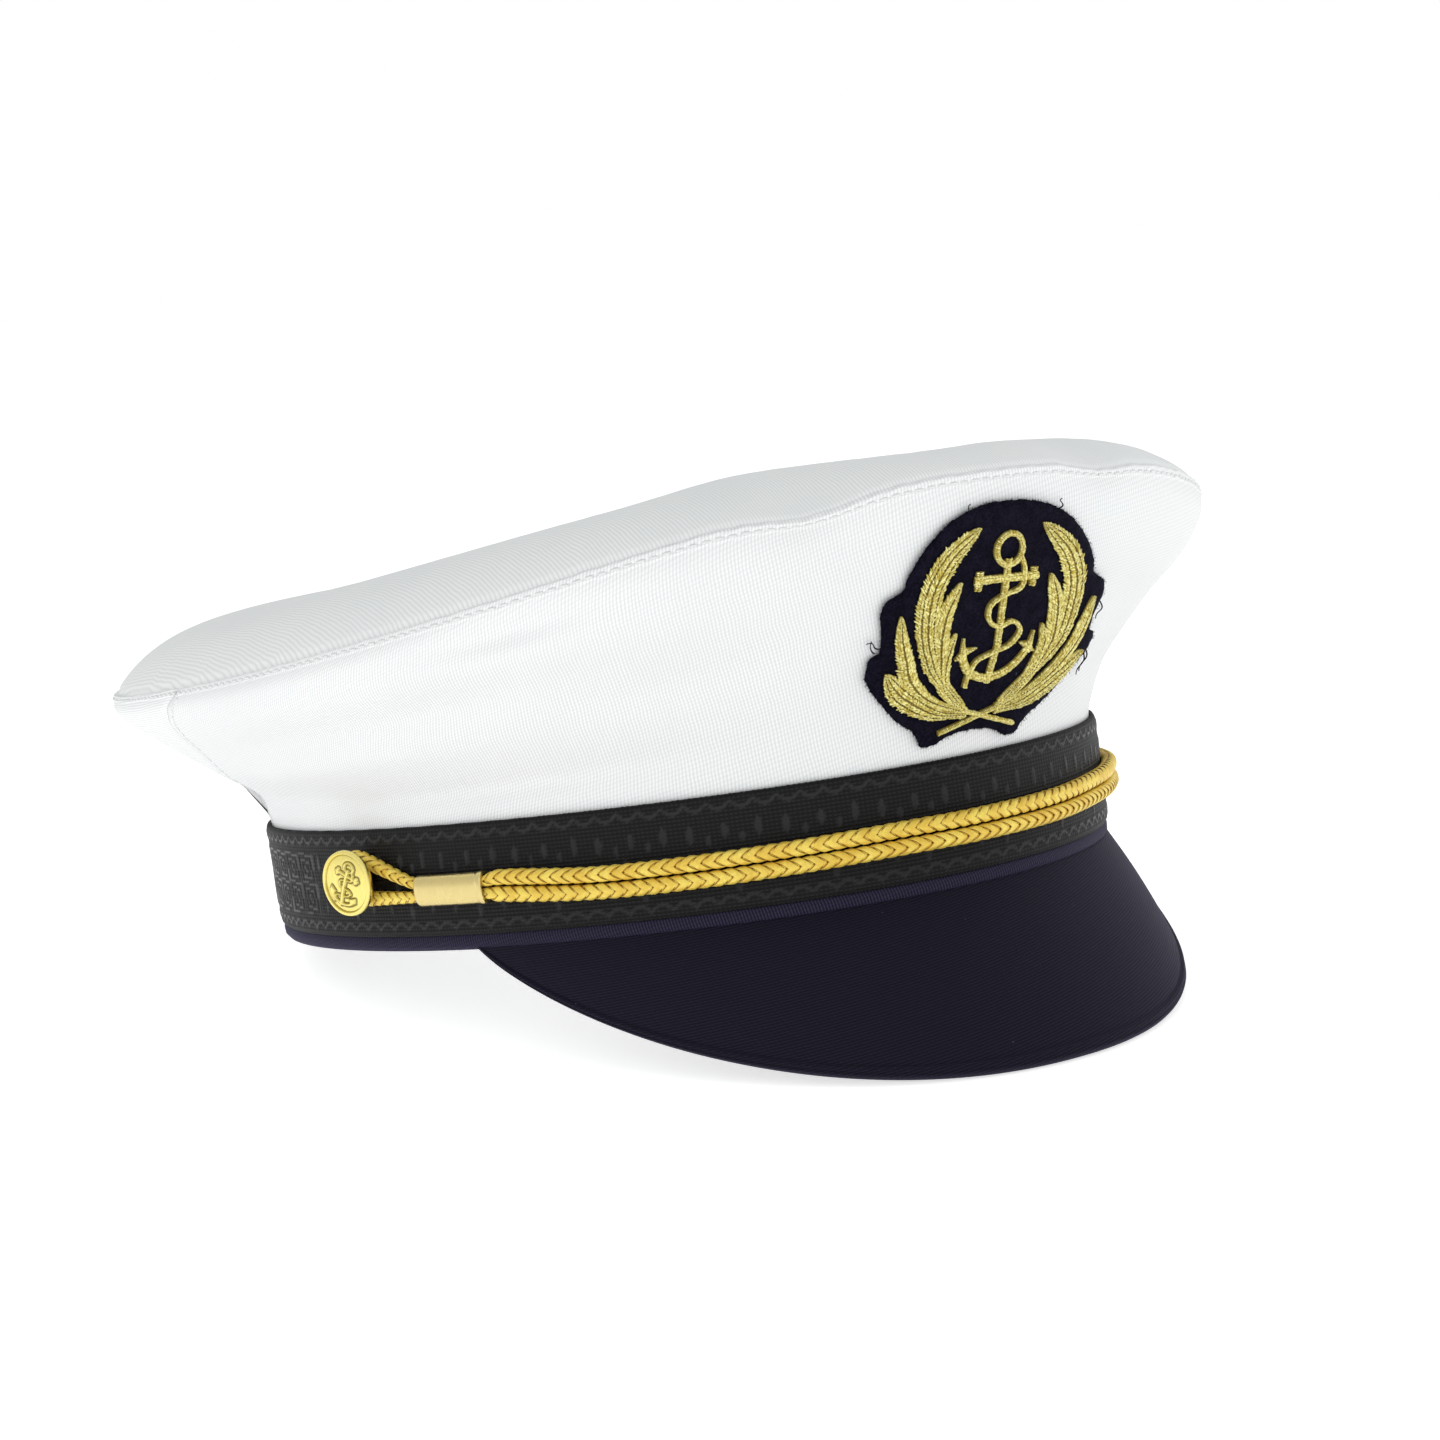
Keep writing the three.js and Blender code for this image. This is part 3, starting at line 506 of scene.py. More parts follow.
def side_point(angle, share):
    """A place of the side. share is 0 at the ribbon and 1 at the seam."""
    foot = band_point(angle, CROWN_FOOT, 0)
    head = top_point(angle, 1.0)
    tucked = PROFILE_HEIGHT[1]
    straight = np.maximum(share - tucked, 0) / (1 - tucked)
    stiff = FRONT_STIFFNESS * np.exp(-((degrees_from(angle, 0) / FRONT_SPREAD) ** 2))
    reach = smooth_curve(share, PROFILE_HEIGHT, PROFILE_REACH)
    reach = (reach + (straight - reach) * stiff)[..., None]
    point = foot + (head - foot) * reach
    point[..., 2] = foot[..., 2] + (head[..., 2] - foot[..., 2]) * share
    return point


# %% [markdown]
# ## Dents, folds and slack
# A soft crown is never smooth. Two dents pull the top seam down over the forehead, wide slack waves
# run level round the sides, and the sewing draws the cloth into small puckers beside each seam. Each
# fold is a row in a table, a soft bell in both directions. The deep ones are those of the solids.

# %% Table of the folds
# angle, place from the ribbon (0) over the seam (1) to the middle of the top (2), width, spread, depth
FOLDS = (
    (-18, 1.00, 6, 0.12, 1.60),
    (-16, 0.80, 6, 0.12, 0.60),
    (-25, 1.24, 11, 0.14, -0.60),
    (-1, 1.20, 10, 0.12, 0.55),
    (13, 1.02, 5, 0.10, 1.00),
    (-66, 0.62, 24, 0.10, 1.50),
    (-84, 0.40, 24, 0.09, -0.90),
    (-110, 0.70, 16, 0.12, 0.45),
    (66, 0.58, 24, 0.10, 0.50),
    (98, 0.74, 20, 0.12, 0.45),
    (172, 0.60, 18, 0.12, 0.50),
    (-60, 0.18, 26, 0.07, 1.05),
    (-36, 0.50, 13, 0.10, 0.95),
    (-50, 0.86, 8, 0.07, 1.25),
    (-96, 0.22, 16, 0.07, 0.45),
    (33, 0.50, 10, 0.14, 0.80),
    (84, 0.24, 18, 0.07, 0.25),
    (122, 0.36, 12, 0.12, 0.30),
    (-126, 0.40, 10, 0.14, 0.25),
    (-150, 0.30, 12, 0.10, 0.22),
    (150, 0.72, 9, 0.13, 0.30),
    (-168, 0.80, 10, 0.10, 0.25),
    (-30, 1.30, 10, 0.16, 0.35),
    (24, 1.26, 9, 0.14, 0.30),
    (80, 1.24, 14, 0.12, 0.25),
    (-100, 1.22, 16, 0.12, 0.25),
    (170, 1.28, 18, 0.14, 0.30),
)


def fold_at(angle, along):
    """How far the folds sink the cloth."""
    depth = 0
    for degrees, place, width, spread, share in FOLDS:
        bell = hump(degrees_from(angle, degrees), 0, width) * hump(along, place, spread)
        depth = depth + share * bell
    return depth * FOLD_DEPTH


# %% Puckers and the crown's outside
PUCKER_DEPTH = 0.16
PUCKER_REACH = 0.12
# waves round the head, and where they start
PUCKERS = ((91, 0.4), (137, 1.9), (61, 4.0))


def pucker_at(angle, along):
    """Small waves beside the top seam, drawn in by its stitches."""
    waves = sum(np.sin(count * angle + phase) for count, phase in PUCKERS) / len(PUCKERS)
    return PUCKER_DEPTH * waves * np.exp(-np.abs(along - 1) / PUCKER_REACH)


def crown_point(angle, along):
    """The outside of the crown. along runs from 0 at the ribbon over 1 at the seam to 2 at the top."""
    angle, along = np.broadcast_arrays(np.asarray(angle, float), np.asarray(along, float))
    side = side_point(angle, np.minimum(along, 1))
    top = top_point(angle, np.clip(2 - along, 0, 1))
    point = np.where((along < 1)[..., None], side, top)
    rise = smoothstep(along, 0.8, 1.2) * math.pi / 2
    flat = np.cos(rise)
    out = np.stack([np.sin(angle) * flat, -np.cos(angle) * flat, np.sin(rise)], -1)
    depth = fold_at(angle, along) + pucker_at(angle, along)
    return point - out * depth[..., None]


def normals_of(surface, u, v, step=1e-3):
    """The outward directions of a surface, from its slopes in both of its numbers."""
    along = surface(u + step, v) - surface(u - step, v)
    up = surface(u, v + step) - surface(u, v - step)
    return unit(np.cross(along, up))


# %% [markdown]
# ## Side and back panels
# Each panel is a wall of cloth: its outside is a fine grid, and the same grid moved inwards is its
# lining side. A solidify modifier could do the same, but here the turned-in edges at the seams need
# their own shape: the side panel's top edge is a narrow flat lap, raised by the folded cloth under it.

# %% Lap under the top seam
LAP_WIDTH = 0.042
LAP_RISE = 0.35
STITCH_SHARE = 1 - LAP_WIDTH * 0.72
STITCH_SPREAD = 0.007
STITCH_SINK = 0.22
TOP_CREASE = 0.9
CREASE_START = 0.992


def lap_at(along):
    """Thickness of the flat lap under the top seam, with its crease at the very edge."""
    raised = smoothstep(along, 1 - LAP_WIDTH * 1.12, 1 - LAP_WIDTH * 0.88)
    crease = smoothstep(along, CREASE_START, 1.0)
    sewn = hump(along, STITCH_SHARE, STITCH_SPREAD)
    return LAP_RISE * raised - TOP_CREASE * crease - STITCH_SINK * sewn


# %% Grid of a side panel
REAR_DIP = 0.3
REAR_TUCK = math.radians(0.9)
REAR_DIP_WIDTH = math.radians(1.1)
BACK_DIP = 1.5
FRONT_COLUMNS = 540
BACK_COLUMNS = 360
OUTER_ROWS = 58
LAP_START = 0.94
LAP_ROWS = 19
INNER_ROWS = 12
INSIDE_EDGE = 2e-3


def rear_seam(share):
    """The angle of the rear seams, which run forwards as they rise."""
    return np.radians(REAR_SEAM_FOOT + (REAR_SEAM_HEAD - REAR_SEAM_FOOT) * share)


def side_panel(name, from_back, columns, material):
    """One panel with its outside, its lining side and its lap, from seam to seam."""
    fine = np.linspace(LAP_START, 1, LAP_ROWS)
    outer = np.concatenate([np.linspace(0, LAP_START, OUTER_ROWS - LAP_ROWS + 1)[:-1], fine])
    inner = np.linspace(1, 0, INNER_ROWS)
    way = np.linspace(-1, 1, columns + 1)[:, None]

    def angles(share):
        if from_back:
            return math.pi + way * (math.pi - rear_seam(share) + REAR_TUCK)
        return rear_seam(share) * way

    def outside(share):
        angle = angles(share)
        top = np.minimum(share, 1 - 1e-6)
        normal = normals_of(crown_point, angle, np.clip(top, INSIDE_EDGE, 1 - INSIDE_EDGE))
        left = np.abs(rear_seam(share) - np.minimum(np.abs(angle), 2 * math.pi - np.abs(angle)))
        deep = REAR_DIP * (BACK_DIP if from_back else 1.0)
        dip = deep * (1 - smoothstep(left, 0, REAR_DIP_WIDTH))
        return crown_point(angle, top) + normal * (lap_at(share) - dip)[..., None]

    face = outside(outer[None, :])
    angle = angles(inner[None, :])
    share = np.clip(inner[None, :], INSIDE_EDGE, 1 - INSIDE_EDGE)
    wall = crown_point(angle, share) - CLOTH_WALL * normals_of(crown_point, angle, share)
    across = cloth_lengths(crown_point(angles(np.array([[0.6]]))[:, 0], 0.6))
    up = cloth_lengths(crown_point(0.9, outer))
    lay_out = np.stack(np.broadcast_arrays(across[:, None], up[None, :]), -1)
    down = up[-1] + 2 + (1 - inner[None, :]) * up[-1]
    lay_in = np.stack(np.broadcast_arrays(across[:, None], down), -1)
    sections = np.concatenate([face, wall], 1)
    lay = np.concatenate([lay_out, lay_in], 1) * MM
    points, faces, uv = capped(sections, lay)
    return outward(finish_mesh(name, to_row(points), faces, material, uv))


# %% Make the side panels
crown_front = side_panel("crown_front_cloth", False, FRONT_COLUMNS, SIDE_TWILL)
crown_back = side_panel("crown_back_cloth", True, BACK_COLUMNS, BACK_TWILL)
print("Side panels:", len(crown_front.data.polygons), "and", len(crown_back.data.polygons), "faces")

# %% [markdown]
# ## Top panel
# The top is one oval of cloth, so its weave runs straight across it and does not follow the seam. Its
# UV map is therefore the plain view from above. It starts a little below the seam, tucked in behind
# the lap, which gives the dark crease between the two cloths.

# %% Make the top panel
TOP_COLUMNS = 460
TOP_RINGS = 64
TOP_CROWDING = 2.2
TOP_TUCK = 0.5
TUCK_WIDTH = 0.012
LINING_RINGS = np.array([[0.985, 0.96, 0.92, 0.86, 0.76, 0.6, 0.4, 0.2]])


def top_panel():
    """Points, faces and UV corners of the top, whose rings crowd towards the seam."""
    angle = np.linspace(-math.pi, math.pi, TOP_COLUMNS, endpoint=False)[:, None]
    shares = 1 - np.linspace(0, 1, TOP_RINGS) ** TOP_CROWDING
    ring = shares[None, :-1]
    tuck = TOP_TUCK * (1 - smoothstep(1 - ring, 0.0, TUCK_WIDTH))
    normal = normals_of(crown_point, angle, 2 - np.maximum(ring, 0.02) + INSIDE_EDGE)
    face = crown_point(angle, 2 - ring) - normal * tuck[..., None]
    along = 2 - LINING_RINGS
    wall = crown_point(angle, along) - CLOTH_WALL * normals_of(crown_point, angle, along)
    lip = face[:, :1] * [LINING_RINGS[0, 0], LINING_RINGS[0, 0], 1]
    sections = np.concatenate([face, wall[:, ::-1], lip], 1)
    wrapped = np.concatenate([sections, sections[:1]])
    lay = wrapped[..., :2] * MM
    count = face.shape[1]
    outside = sweep(sections[:, :count], True, lay[:, :count], closed=False)
    inside = sweep(sections[:, count:], True, lay[:, count:], closed=False)
    lip_strip = sweep(sections[:, [-1, 0]], True, lay[:, [-1, 0]], closed=False)
    points, faces, uv = joined_parts([outside, inside, lip_strip])
    steps = np.arange(TOP_COLUMNS)
    points, outer_disc = end_cap(points, steps * count + count - 1, False)
    inner_rim = TOP_COLUMNS * count + steps * (sections.shape[1] - count)
    points, inner_disc = end_cap(points, inner_rim, True)
    discs = np.concatenate([outer_disc, inner_disc])
    flat = points[discs].reshape(-1, 3)[:, :2] * MM
    return points, np.concatenate([faces, discs]), np.concatenate([uv, flat])


points, faces, uv = top_panel()
crown_top = welded(finish_mesh("crown_top_cloth", to_row(points), faces, TOP_TWILL, uv))
print("Top panel:", len(crown_top.data.polygons), "faces")

# %% [markdown]
# ## A tree that lays threads
# Embroidery, loose fibres and seams are the same thing many times: a short thread, laid along a line
# and pressed onto a surface. One node tree takes bare points that carry a direction, the surface's
# outward direction and a size, and puts a small spindle on each. A second one walks along a seam line
# and sets a stitch at every step. Both end in real meshes.

# %% A helper for node trees


class Tree:
    """A geometry node tree with named inputs."""

    def __init__(self, name, inputs):
        self.tree = bpy.data.node_groups.new(name, "GeometryNodeTree")
        self.tree.interface.new_socket(name="Geometry", in_out="INPUT", socket_type="NodeSocketGeometry")
        for label, kind in inputs:
            self.tree.interface.new_socket(name=label, in_out="INPUT", socket_type=kind)
        self.tree.interface.new_socket(name="Geometry", in_out="OUTPUT", socket_type="NodeSocketGeometry")
        self.given = self.tree.nodes.new("NodeGroupInput")
        self.result = self.tree.nodes.new("NodeGroupOutput")

    def node(self, kind, links=(), **settings):
        made = self.tree.nodes.new(kind)
        for key, value in settings.items():
            setattr(made, key, value)
        for socket, value in links:
            if isinstance(value, bpy.types.NodeSocket):
                self.tree.links.new(value, made.inputs[socket])
            else:
                made.inputs[socket].default_value = value
        return made

    def named(self, name):
        kept = self.node("GeometryNodeInputNamedAttribute", [("Name", name)], data_type="FLOAT_VECTOR")
        return kept.outputs[0]

    def facing(self, along, out):
        """A rotation whose X follows along and whose Z follows out."""
        first = self.node("FunctionNodeAlignRotationToVector", [("Vector", along)], axis="X")
        turned = [("Rotation", first.outputs[0]), ("Vector", out)]
        return self.node("FunctionNodeAlignRotationToVector", turned, axis="Z", pivot_axis="X").outputs[0]

    def spindle(self, sides, rings):
        ball = self.node("GeometryNodeMeshUVSphere", [("Segments", sides), ("Rings", rings), ("Radius", 0.5)])
        lying = [("Geometry", ball.outputs[0]), ("Rotation", (0, math.pi / 2, 0))]
        return self.node("GeometryNodeTransform", lying).outputs[0]

    def end(self, instances):
        real = self.node("GeometryNodeRealizeInstances", [("Geometry", instances)])
        smooth = self.node("GeometryNodeSetShadeSmooth", [("Geometry", real.outputs[0])])
        dressed = [("Geometry", smooth.outputs[0]), ("Material", self.given.outputs["Material"])]
        made = self.node("GeometryNodeSetMaterial", dressed)
        self.tree.links.new(made.outputs[0], self.result.inputs[0])
        return self.tree


# %% Trees for threads and for seams


def thread_tree():
    """A spindle on every point, turned and sized by what the point carries."""
    tree = Tree("lay_threads", [("Material", "NodeSocketMaterial")])
    turn = tree.facing(tree.named("along"), tree.named("out"))
    laid = [
        ("Points", tree.given.outputs["Geometry"]),
        ("Instance", tree.spindle(6, 3)),
        ("Rotation", turn),
        ("Scale", tree.named("size")),
    ]
    return tree.end(tree.node("GeometryNodeInstanceOnPoints", laid).outputs[0])


def seam_tree():
    """A stitch at every step of a line."""
    sizes = [(label, "NodeSocketFloat") for label in ("Pitch", "Length", "Width", "Height")]
    tree = Tree("sew_seam", [*sizes, ("Material", "NodeSocketMaterial")])
    line = tree.node("GeometryNodeMeshToCurve", [("Mesh", tree.given.outputs["Geometry"])])
    steps = [("Curve", line.outputs[0]), ("Length", tree.given.outputs["Pitch"])]
    walked = tree.node("GeometryNodeResampleCurve", steps, mode="LENGTH")
    tangent = tree.node("GeometryNodeInputTangent").outputs[0]
    given = [(axis, tree.given.outputs[label]) for axis, label in enumerate(("Length", "Width", "Height"))]
    size = tree.node("ShaderNodeCombineXYZ", given)
    laid = [
        ("Points", walked.outputs[0]),
        ("Instance", tree.spindle(6, 5)),
        ("Rotation", tree.facing(tangent, tree.named("out"))),
        ("Scale", size.outputs[0]),
    ]
    return tree.end(tree.node("GeometryNodeInstanceOnPoints", laid).outputs[0])


THREADS = thread_tree()
SEAM = seam_tree()


# %% Run points through a tree


def through_tree(name, points, edges, vectors, tree, inputs, tones=None):
    """Runs points with vector attributes through a node tree and returns the plain mesh object."""
    mesh = bpy.data.meshes.new(name + "_points")
    mesh.from_pydata(to_row(points).tolist(), edges, [])
    for label, values in vectors.items():
        layer = mesh.attributes.new(label, "FLOAT_VECTOR", "POINT")
        layer.data.foreach_set("vector", np.asarray(values, np.float32).ravel())
    if tones is not None:
        mesh.attributes.new("tone", "FLOAT", "POINT").data.foreach_set("value", np.asarray(tones, np.float32))
    source = bpy.data.objects.new(name + "_source", mesh)
    bpy.context.collection.objects.link(source)
    modifier = source.modifiers.new("sewing", "NODES")
    modifier.node_group = tree
    for item in tree.interface.items_tree:
        if item.name in inputs and item.in_out == "INPUT":
            modifier[item.identifier] = inputs[item.name]
    graph = bpy.context.evaluated_depsgraph_get()
    evaluated = source.evaluated_get(graph)
    result = bpy.data.meshes.new_from_object(evaluated, preserve_all_data_layers=True, depsgraph=graph)
    source.modifiers.clear()
    bpy.data.objects.remove(source)
    piece = bpy.data.objects.new(name, result)
    bpy.context.collection.objects.link(piece)
    return piece


def lay_threads(name, start, end, out, width, height, material, tones=None):
    """A spindle from each start to each end point, in the hat's frame, in millimetres."""
    span = np.linalg.norm(end - start, axis=1)
    size = np.stack(np.broadcast_arrays(span, width, height), -1) * MM
    vectors = {"along": (end - start) @ LEAN_MATRIX.T, "out": out @ LEAN_MATRIX.T, "size": size}
    return through_tree(name, (start + end) / 2, [], vectors, THREADS, {"Material": material}, tones)


def sew(name, line, out, sizes, material):
    """A row of stitches along a line. sizes are pitch, length, width and height, in millimetres."""
    edges = [(i, i + 1) for i in range(len(line) - 1)]
    inputs = dict(zip(("Pitch", "Length", "Width", "Height"), (size * MM for size in sizes)))
    inputs["Material"] = material
    return through_tree(name, line, edges, {"out": out @ LEAN_MATRIX.T}, SEAM, inputs)


# %% [markdown]
# ## The stitched seams
# A row of white stitches holds the lap flat, just under the crease. On the real hat the thread sinks
# into the cloth, so each stitch is a low spindle, half buried. A second row closes each rear corner.
# Painted dashes would do from afar, but real ones catch the light at the edge of the crown.

# %% White sewing thread


def white_thread():
    thread = Finish("white_sewing_thread", (0.87, 0.89, 0.88), 0.6)
    grain = thread.noise(thread.place(), 0.0004, 2.0)
    thread.colour(thread.mix(grain, (0.696, 0.712, 0.704), (0.87, 0.89, 0.88)))
    thread.bump(grain, 0.05 * MM)
    return thread.material


WHITE_THREAD = white_thread()

# %% Stitches of the crown: pitch, length, width and height
TOP_STITCH = (2.5, 1.8, 0.62, 0.5)
REAR_STITCH = (2.6, 2.1, 0.5, 0.36)
REAR_STITCH_BACK = 0.024
SPINDLE_FACES = 30
seam_angles = np.linspace(-math.pi, math.pi, 1300)
seam_normal = normals_of(crown_point, seam_angles, np.full_like(seam_angles, STITCH_SHARE))
seam_line = crown_point(seam_angles, STITCH_SHARE) + seam_normal * (LAP_RISE - 0.1)
top_stitches = sew("top_seam_stitches", seam_line, seam_normal, TOP_STITCH, WHITE_THREAD)
rear_share = np.linspace(0.03, 0.93, 60)
rear_stitches = []
for side, label in ((-1, "right"), (1, "left")):
    angle = side * (rear_seam(rear_share) - REAR_STITCH_BACK)
    normal = normals_of(crown_point, angle, rear_share)
    line = crown_point(angle, rear_share) + normal * 0.03
    rear_stitches.append(sew("rear_seam_stitches_" + label, line, normal, REAR_STITCH, WHITE_THREAD))
print("Stitches of the top seam:", len(top_stitches.data.polygons) // SPINDLE_FACES)

# %% [markdown]
# ## Ribbon
# The ribbon is a black woven band with its figures in satin on a ribbed ground: a scalloped line
# inside each edge, rows of dots, small upright leaves along the middle, and a key pattern towards the
# back. The figures stand a little proud, so they are real relief in a fine grid. The ribs between them
# are too fine for that and are left to the material. It paints the dots of the ribs lighter as
# highlights, the gaps between them darker as shade, and the satin figures lighter as their sheen.

# %% Jacquard figures of the ribbon, in millimetres along it and up from its lower edge
LEAF_UNIT = 19.0
# middle, height, half width, half height
LEAVES = (
    (2.0, 15.6, 0.75, 2.1),
    (5.6, 14.2, 0.55, 1.3),
    (8.9, 15.9, 0.80, 1.7),
    (12.3, 14.4, 0.60, 1.1),
    (15.6, 16.0, 0.70, 2.2),
    (3.9, 6.2, 0.60, 1.5),
    (10.4, 5.4, 0.70, 1.8),
    (16.6, 6.4, 0.60, 1.4),
    (7.1, 10.4, 0.70, 2.2),
    (13.9, 10.2, 0.60, 1.8),
)
SCALLOP_PITCH = 4.6
SCALLOP_RISE = 1.3
LOWER_SCALLOP = 1.7
UPPER_SCALLOP = 1.3
KEY_PITCH = 8.6
KEY_LINE = 1.75
KEY_FOOT = 4.8
KEY_HEAD = 18.0
KEY_FADE = 0.4
KEY_START = 93
KEY_FULL = 97


def ribbon_figures(along, up, angle):
    """Share of satin figure, 0 to 1, at places of the ribbon, in millimetres from its lower edge."""
    figure = np.zeros(np.broadcast_shapes(along.shape, up.shape))
    scallop = SCALLOP_RISE * np.abs(np.sin(math.pi * along / SCALLOP_PITCH))
    for level in (LOWER_SCALLOP + scallop, RIBBON_HEIGHT - UPPER_SCALLOP - scallop):
        figure = np.maximum(figure, smoothstep(0.5 - np.abs(up - level), 0, 0.3))
    behind = smoothstep(np.abs(np.degrees(angle)), KEY_START, KEY_FULL)
    place = along % LEAF_UNIT
    for middle, height, half_width, half_height in LEAVES:
        inside = 1 - ((place - middle) / half_width) ** 2 - ((up - height) / half_height) ** 2
        figure = np.maximum(figure, smoothstep(inside, 0.0, 0.5) * (1 - behind))
    x = along % KEY_PITCH - KEY_PITCH / 2
    y = (up - KEY_FOOT) % (0.75 * KEY_PITCH) - 0.375 * KEY_PITCH
    ring = np.maximum(np.abs(x), 1.2 * np.abs(y))
    frames = np.sin(2 * math.pi * ring / KEY_LINE + np.sign(x * y) * 0.9)
    over_foot = smoothstep(up, KEY_FOOT - KEY_FADE, KEY_FOOT)
    under_head = 1 - smoothstep(up, KEY_HEAD, KEY_HEAD + KEY_FADE)
    return np.maximum(figure, smoothstep(frames, 0.2, 0.6) * behind * over_foot * under_head)


# %% Black ribbon cloth


def black_jacquard():
    cloth = Finish("black_jacquard", (0.02, 0.02, 0.022), 0.6)
    along, up, where = cloth.uv()
    figure = cloth.attribute("figure")
    row = cloth.sine(up, 0.78 * MM)
    dot = cloth.sine(along, 0.95 * MM)
    ground = cloth.times(row, cloth.math("MULTIPLY_ADD", dot, 0.6, 0.4))
    floats = cloth.sine(up, 0.3 * MM)
    grain = cloth.noise(where, 0.0006, 2.0)
    height = cloth.mix(figure, ground, floats)
    # painted highlight and shade: rib dots lighter, gaps near-black, satin figures lighter as sheen
    shown = cloth.between(cloth.add(ground, cloth.times(grain, 0.3)), 0.35, 1.05)
    ground_painted_highlight_and_shade = cloth.mix(shown, (0.0015, 0.0015, 0.0018), (0.0145, 0.0145, 0.016))
    cloth.colour(cloth.mix(figure, ground_painted_highlight_and_shade, (0.027, 0.027, 0.030)))
    cloth.roughness(cloth.between(figure, 0.2, 0.8, 0.6, 0.34))
    cloth.bump(height, 0.14 * MM, 0.8)
    cloth.shader.inputs["Specular IOR Level"].default_value = 0.2
    return cloth.material


# %% Make the ribbon
RIBBON_COLUMNS = 1240
RIBBON_ROWS = 48
PICOT_PITCH = 1.15
PICOT_RISE = 0.16
FIGURE_RISE = 0.17
SELVEDGE_FALL = 0.45
SELVEDGE_WIDTH = 0.7
RIBBON_WAVE = 0.06


def ribbon_piece():
    angle = np.linspace(-math.pi, math.pi, RIBBON_COLUMNS + 1)[:, None]
    along = cloth_lengths(band_point(angle[:, 0], 0, CLEARANCE + RIBBON_WALL))[:, None]
    up = np.linspace(0, RIBBON_HEIGHT, RIBBON_ROWS)[None, :]
    figure = ribbon_figures(along, up, angle)
    picot = PICOT_RISE * np.sin(2 * math.pi * along / PICOT_PITCH)
    picot = picot * smoothstep(up, RIBBON_HEIGHT - 0.8, RIBBON_HEIGHT)
    edge = np.minimum(up, RIBBON_HEIGHT - up)
    selvedge = SELVEDGE_FALL * (1 - smoothstep(edge, 0, SELVEDGE_WIDTH))
    rise = FIGURE_RISE * figure - selvedge + RIBBON_WAVE * np.sin(0.05 * along + 0.4 * up)
    face = band_point(angle, RIBBON_FOOT + up + picot, CLEARANCE + RIBBON_WALL + rise)
    back_up = np.array([[RIBBON_HEIGHT, 0.0]])
    back = band_point(angle, RIBBON_FOOT + back_up, CLEARANCE)
    sections = np.concatenate([face, back], 1)
    lay = np.stack(np.broadcast_arrays(along, np.concatenate([up, back_up], 1)), -1) * MM
    points, faces, uv = sweep(sections[:-1], True, lay)
    piece = outward(finish_mesh("ribbon_cloth", to_row(points), faces, black_jacquard(), uv))
    shares = np.concatenate([figure, np.zeros((len(angle), 2))], 1)[:-1]
    layer = piece.data.attributes.new("figure", "FLOAT", "POINT")
    layer.data.foreach_set("value", shares.ravel().astype(np.float32))
    return piece


ribbon = ribbon_piece()
print("Ribbon:", len(ribbon.data.polygons), "faces")

# %% [markdown]
# ## Navy twill
# The rim and the peak are covered with one navy twill with fine close ribs, in two copies: the peak's
# is darker and the rim's lighter, painted shade and light. It is nearly black, takes a faint purple
# light and catches lint. The ribs are a wave across the UV map, their crowns painted lighter as
# highlights, and the lint is a few very small, rare patches of chance.

# %% Navy cloth


def navy_twill(name, colour, light, slant):
    """slant turns the ribs, in degrees, and light is the colour of their crowns, a painted highlight."""
    cloth = Finish(name, colour, 0.72)
    across, up, where = cloth.uv()
    turn = math.radians(slant)
    over = cloth.add(cloth.times(across, math.cos(turn)), cloth.times(up, math.sin(turn)))
    thread = cloth.add(cloth.times(across, -math.sin(turn)), cloth.times(up, math.cos(turn)))
    rib = cloth.sine(over, 0.62 * MM)
    weave = cloth.times(rib, cloth.math("MULTIPLY_ADD", cloth.sine(thread, 0.8 * MM), 0.35, 0.65))
    grain = cloth.noise(where, 0.0005, 2.0)
    lint = cloth.between(cloth.noise(where, 0.0011, 3.0, (1.0, 0.6, 1.0)), 0.755, 0.79)
    # painted highlight: the crowns of the ribs are coloured lighter than the cloth between them
    shown = cloth.between(cloth.add(weave, cloth.times(grain, 0.5)), 0.3, 1.2)
    cloth.colour(cloth.mix(lint, cloth.mix(shown, colour, light), (0.22, 0.22, 0.26)))
    cloth.bump(cloth.add(weave, cloth.times(grain, 0.5)), 0.1 * MM, 0.6)
    cloth.shader.inputs["Specular IOR Level"].default_value = 0.12
    cloth.shader.inputs["Sheen Weight"].default_value = 0.09
    cloth.shader.inputs["Sheen Tint"].default_value = (0.5, 0.46, 0.8, 1)
    return cloth.material


# one cloth in two copies: darker on the peak and lighter on the rim, painted shade and light
RIM_TWILL = navy_twill("navy_twill_rim", (0.007, 0.006, 0.016), (0.034, 0.030, 0.062), 12)
PEAK_TWILL = navy_twill("navy_twill_peak", (0.0035, 0.0032, 0.0085), (0.0115, 0.0104, 0.0240), 80)

# %% [markdown]
# ## Head band
# Only the lowest few millimetres of the band show, as a soft roll of navy cloth under the ribbon. Its
# section is a short list of places, made smooth, and swept round the head oval. A bevelled ring would
# do too, but the roll is fuller outside than inside.

# %% Make the head band
# height over the rim, and how far outside the band
RIM_SECTION = (
    (BAND_HEIGHT, -0.05), (14.0, -0.02), (4.6, 0.0), (3.5, 0.35), (2.6, 0.85), (1.5, 0.95), (0.6, 0.6),
    (0.05, -0.1), (0.0, -0.9), (0.3, -1.7), (1.2, -2.1), (5.0, -2.0), (14.0, -2.0), (BAND_HEIGHT, -1.95),
)
BAND_COLUMNS = 361
BAND_ROWS = 44
ROLL_ROW = 12


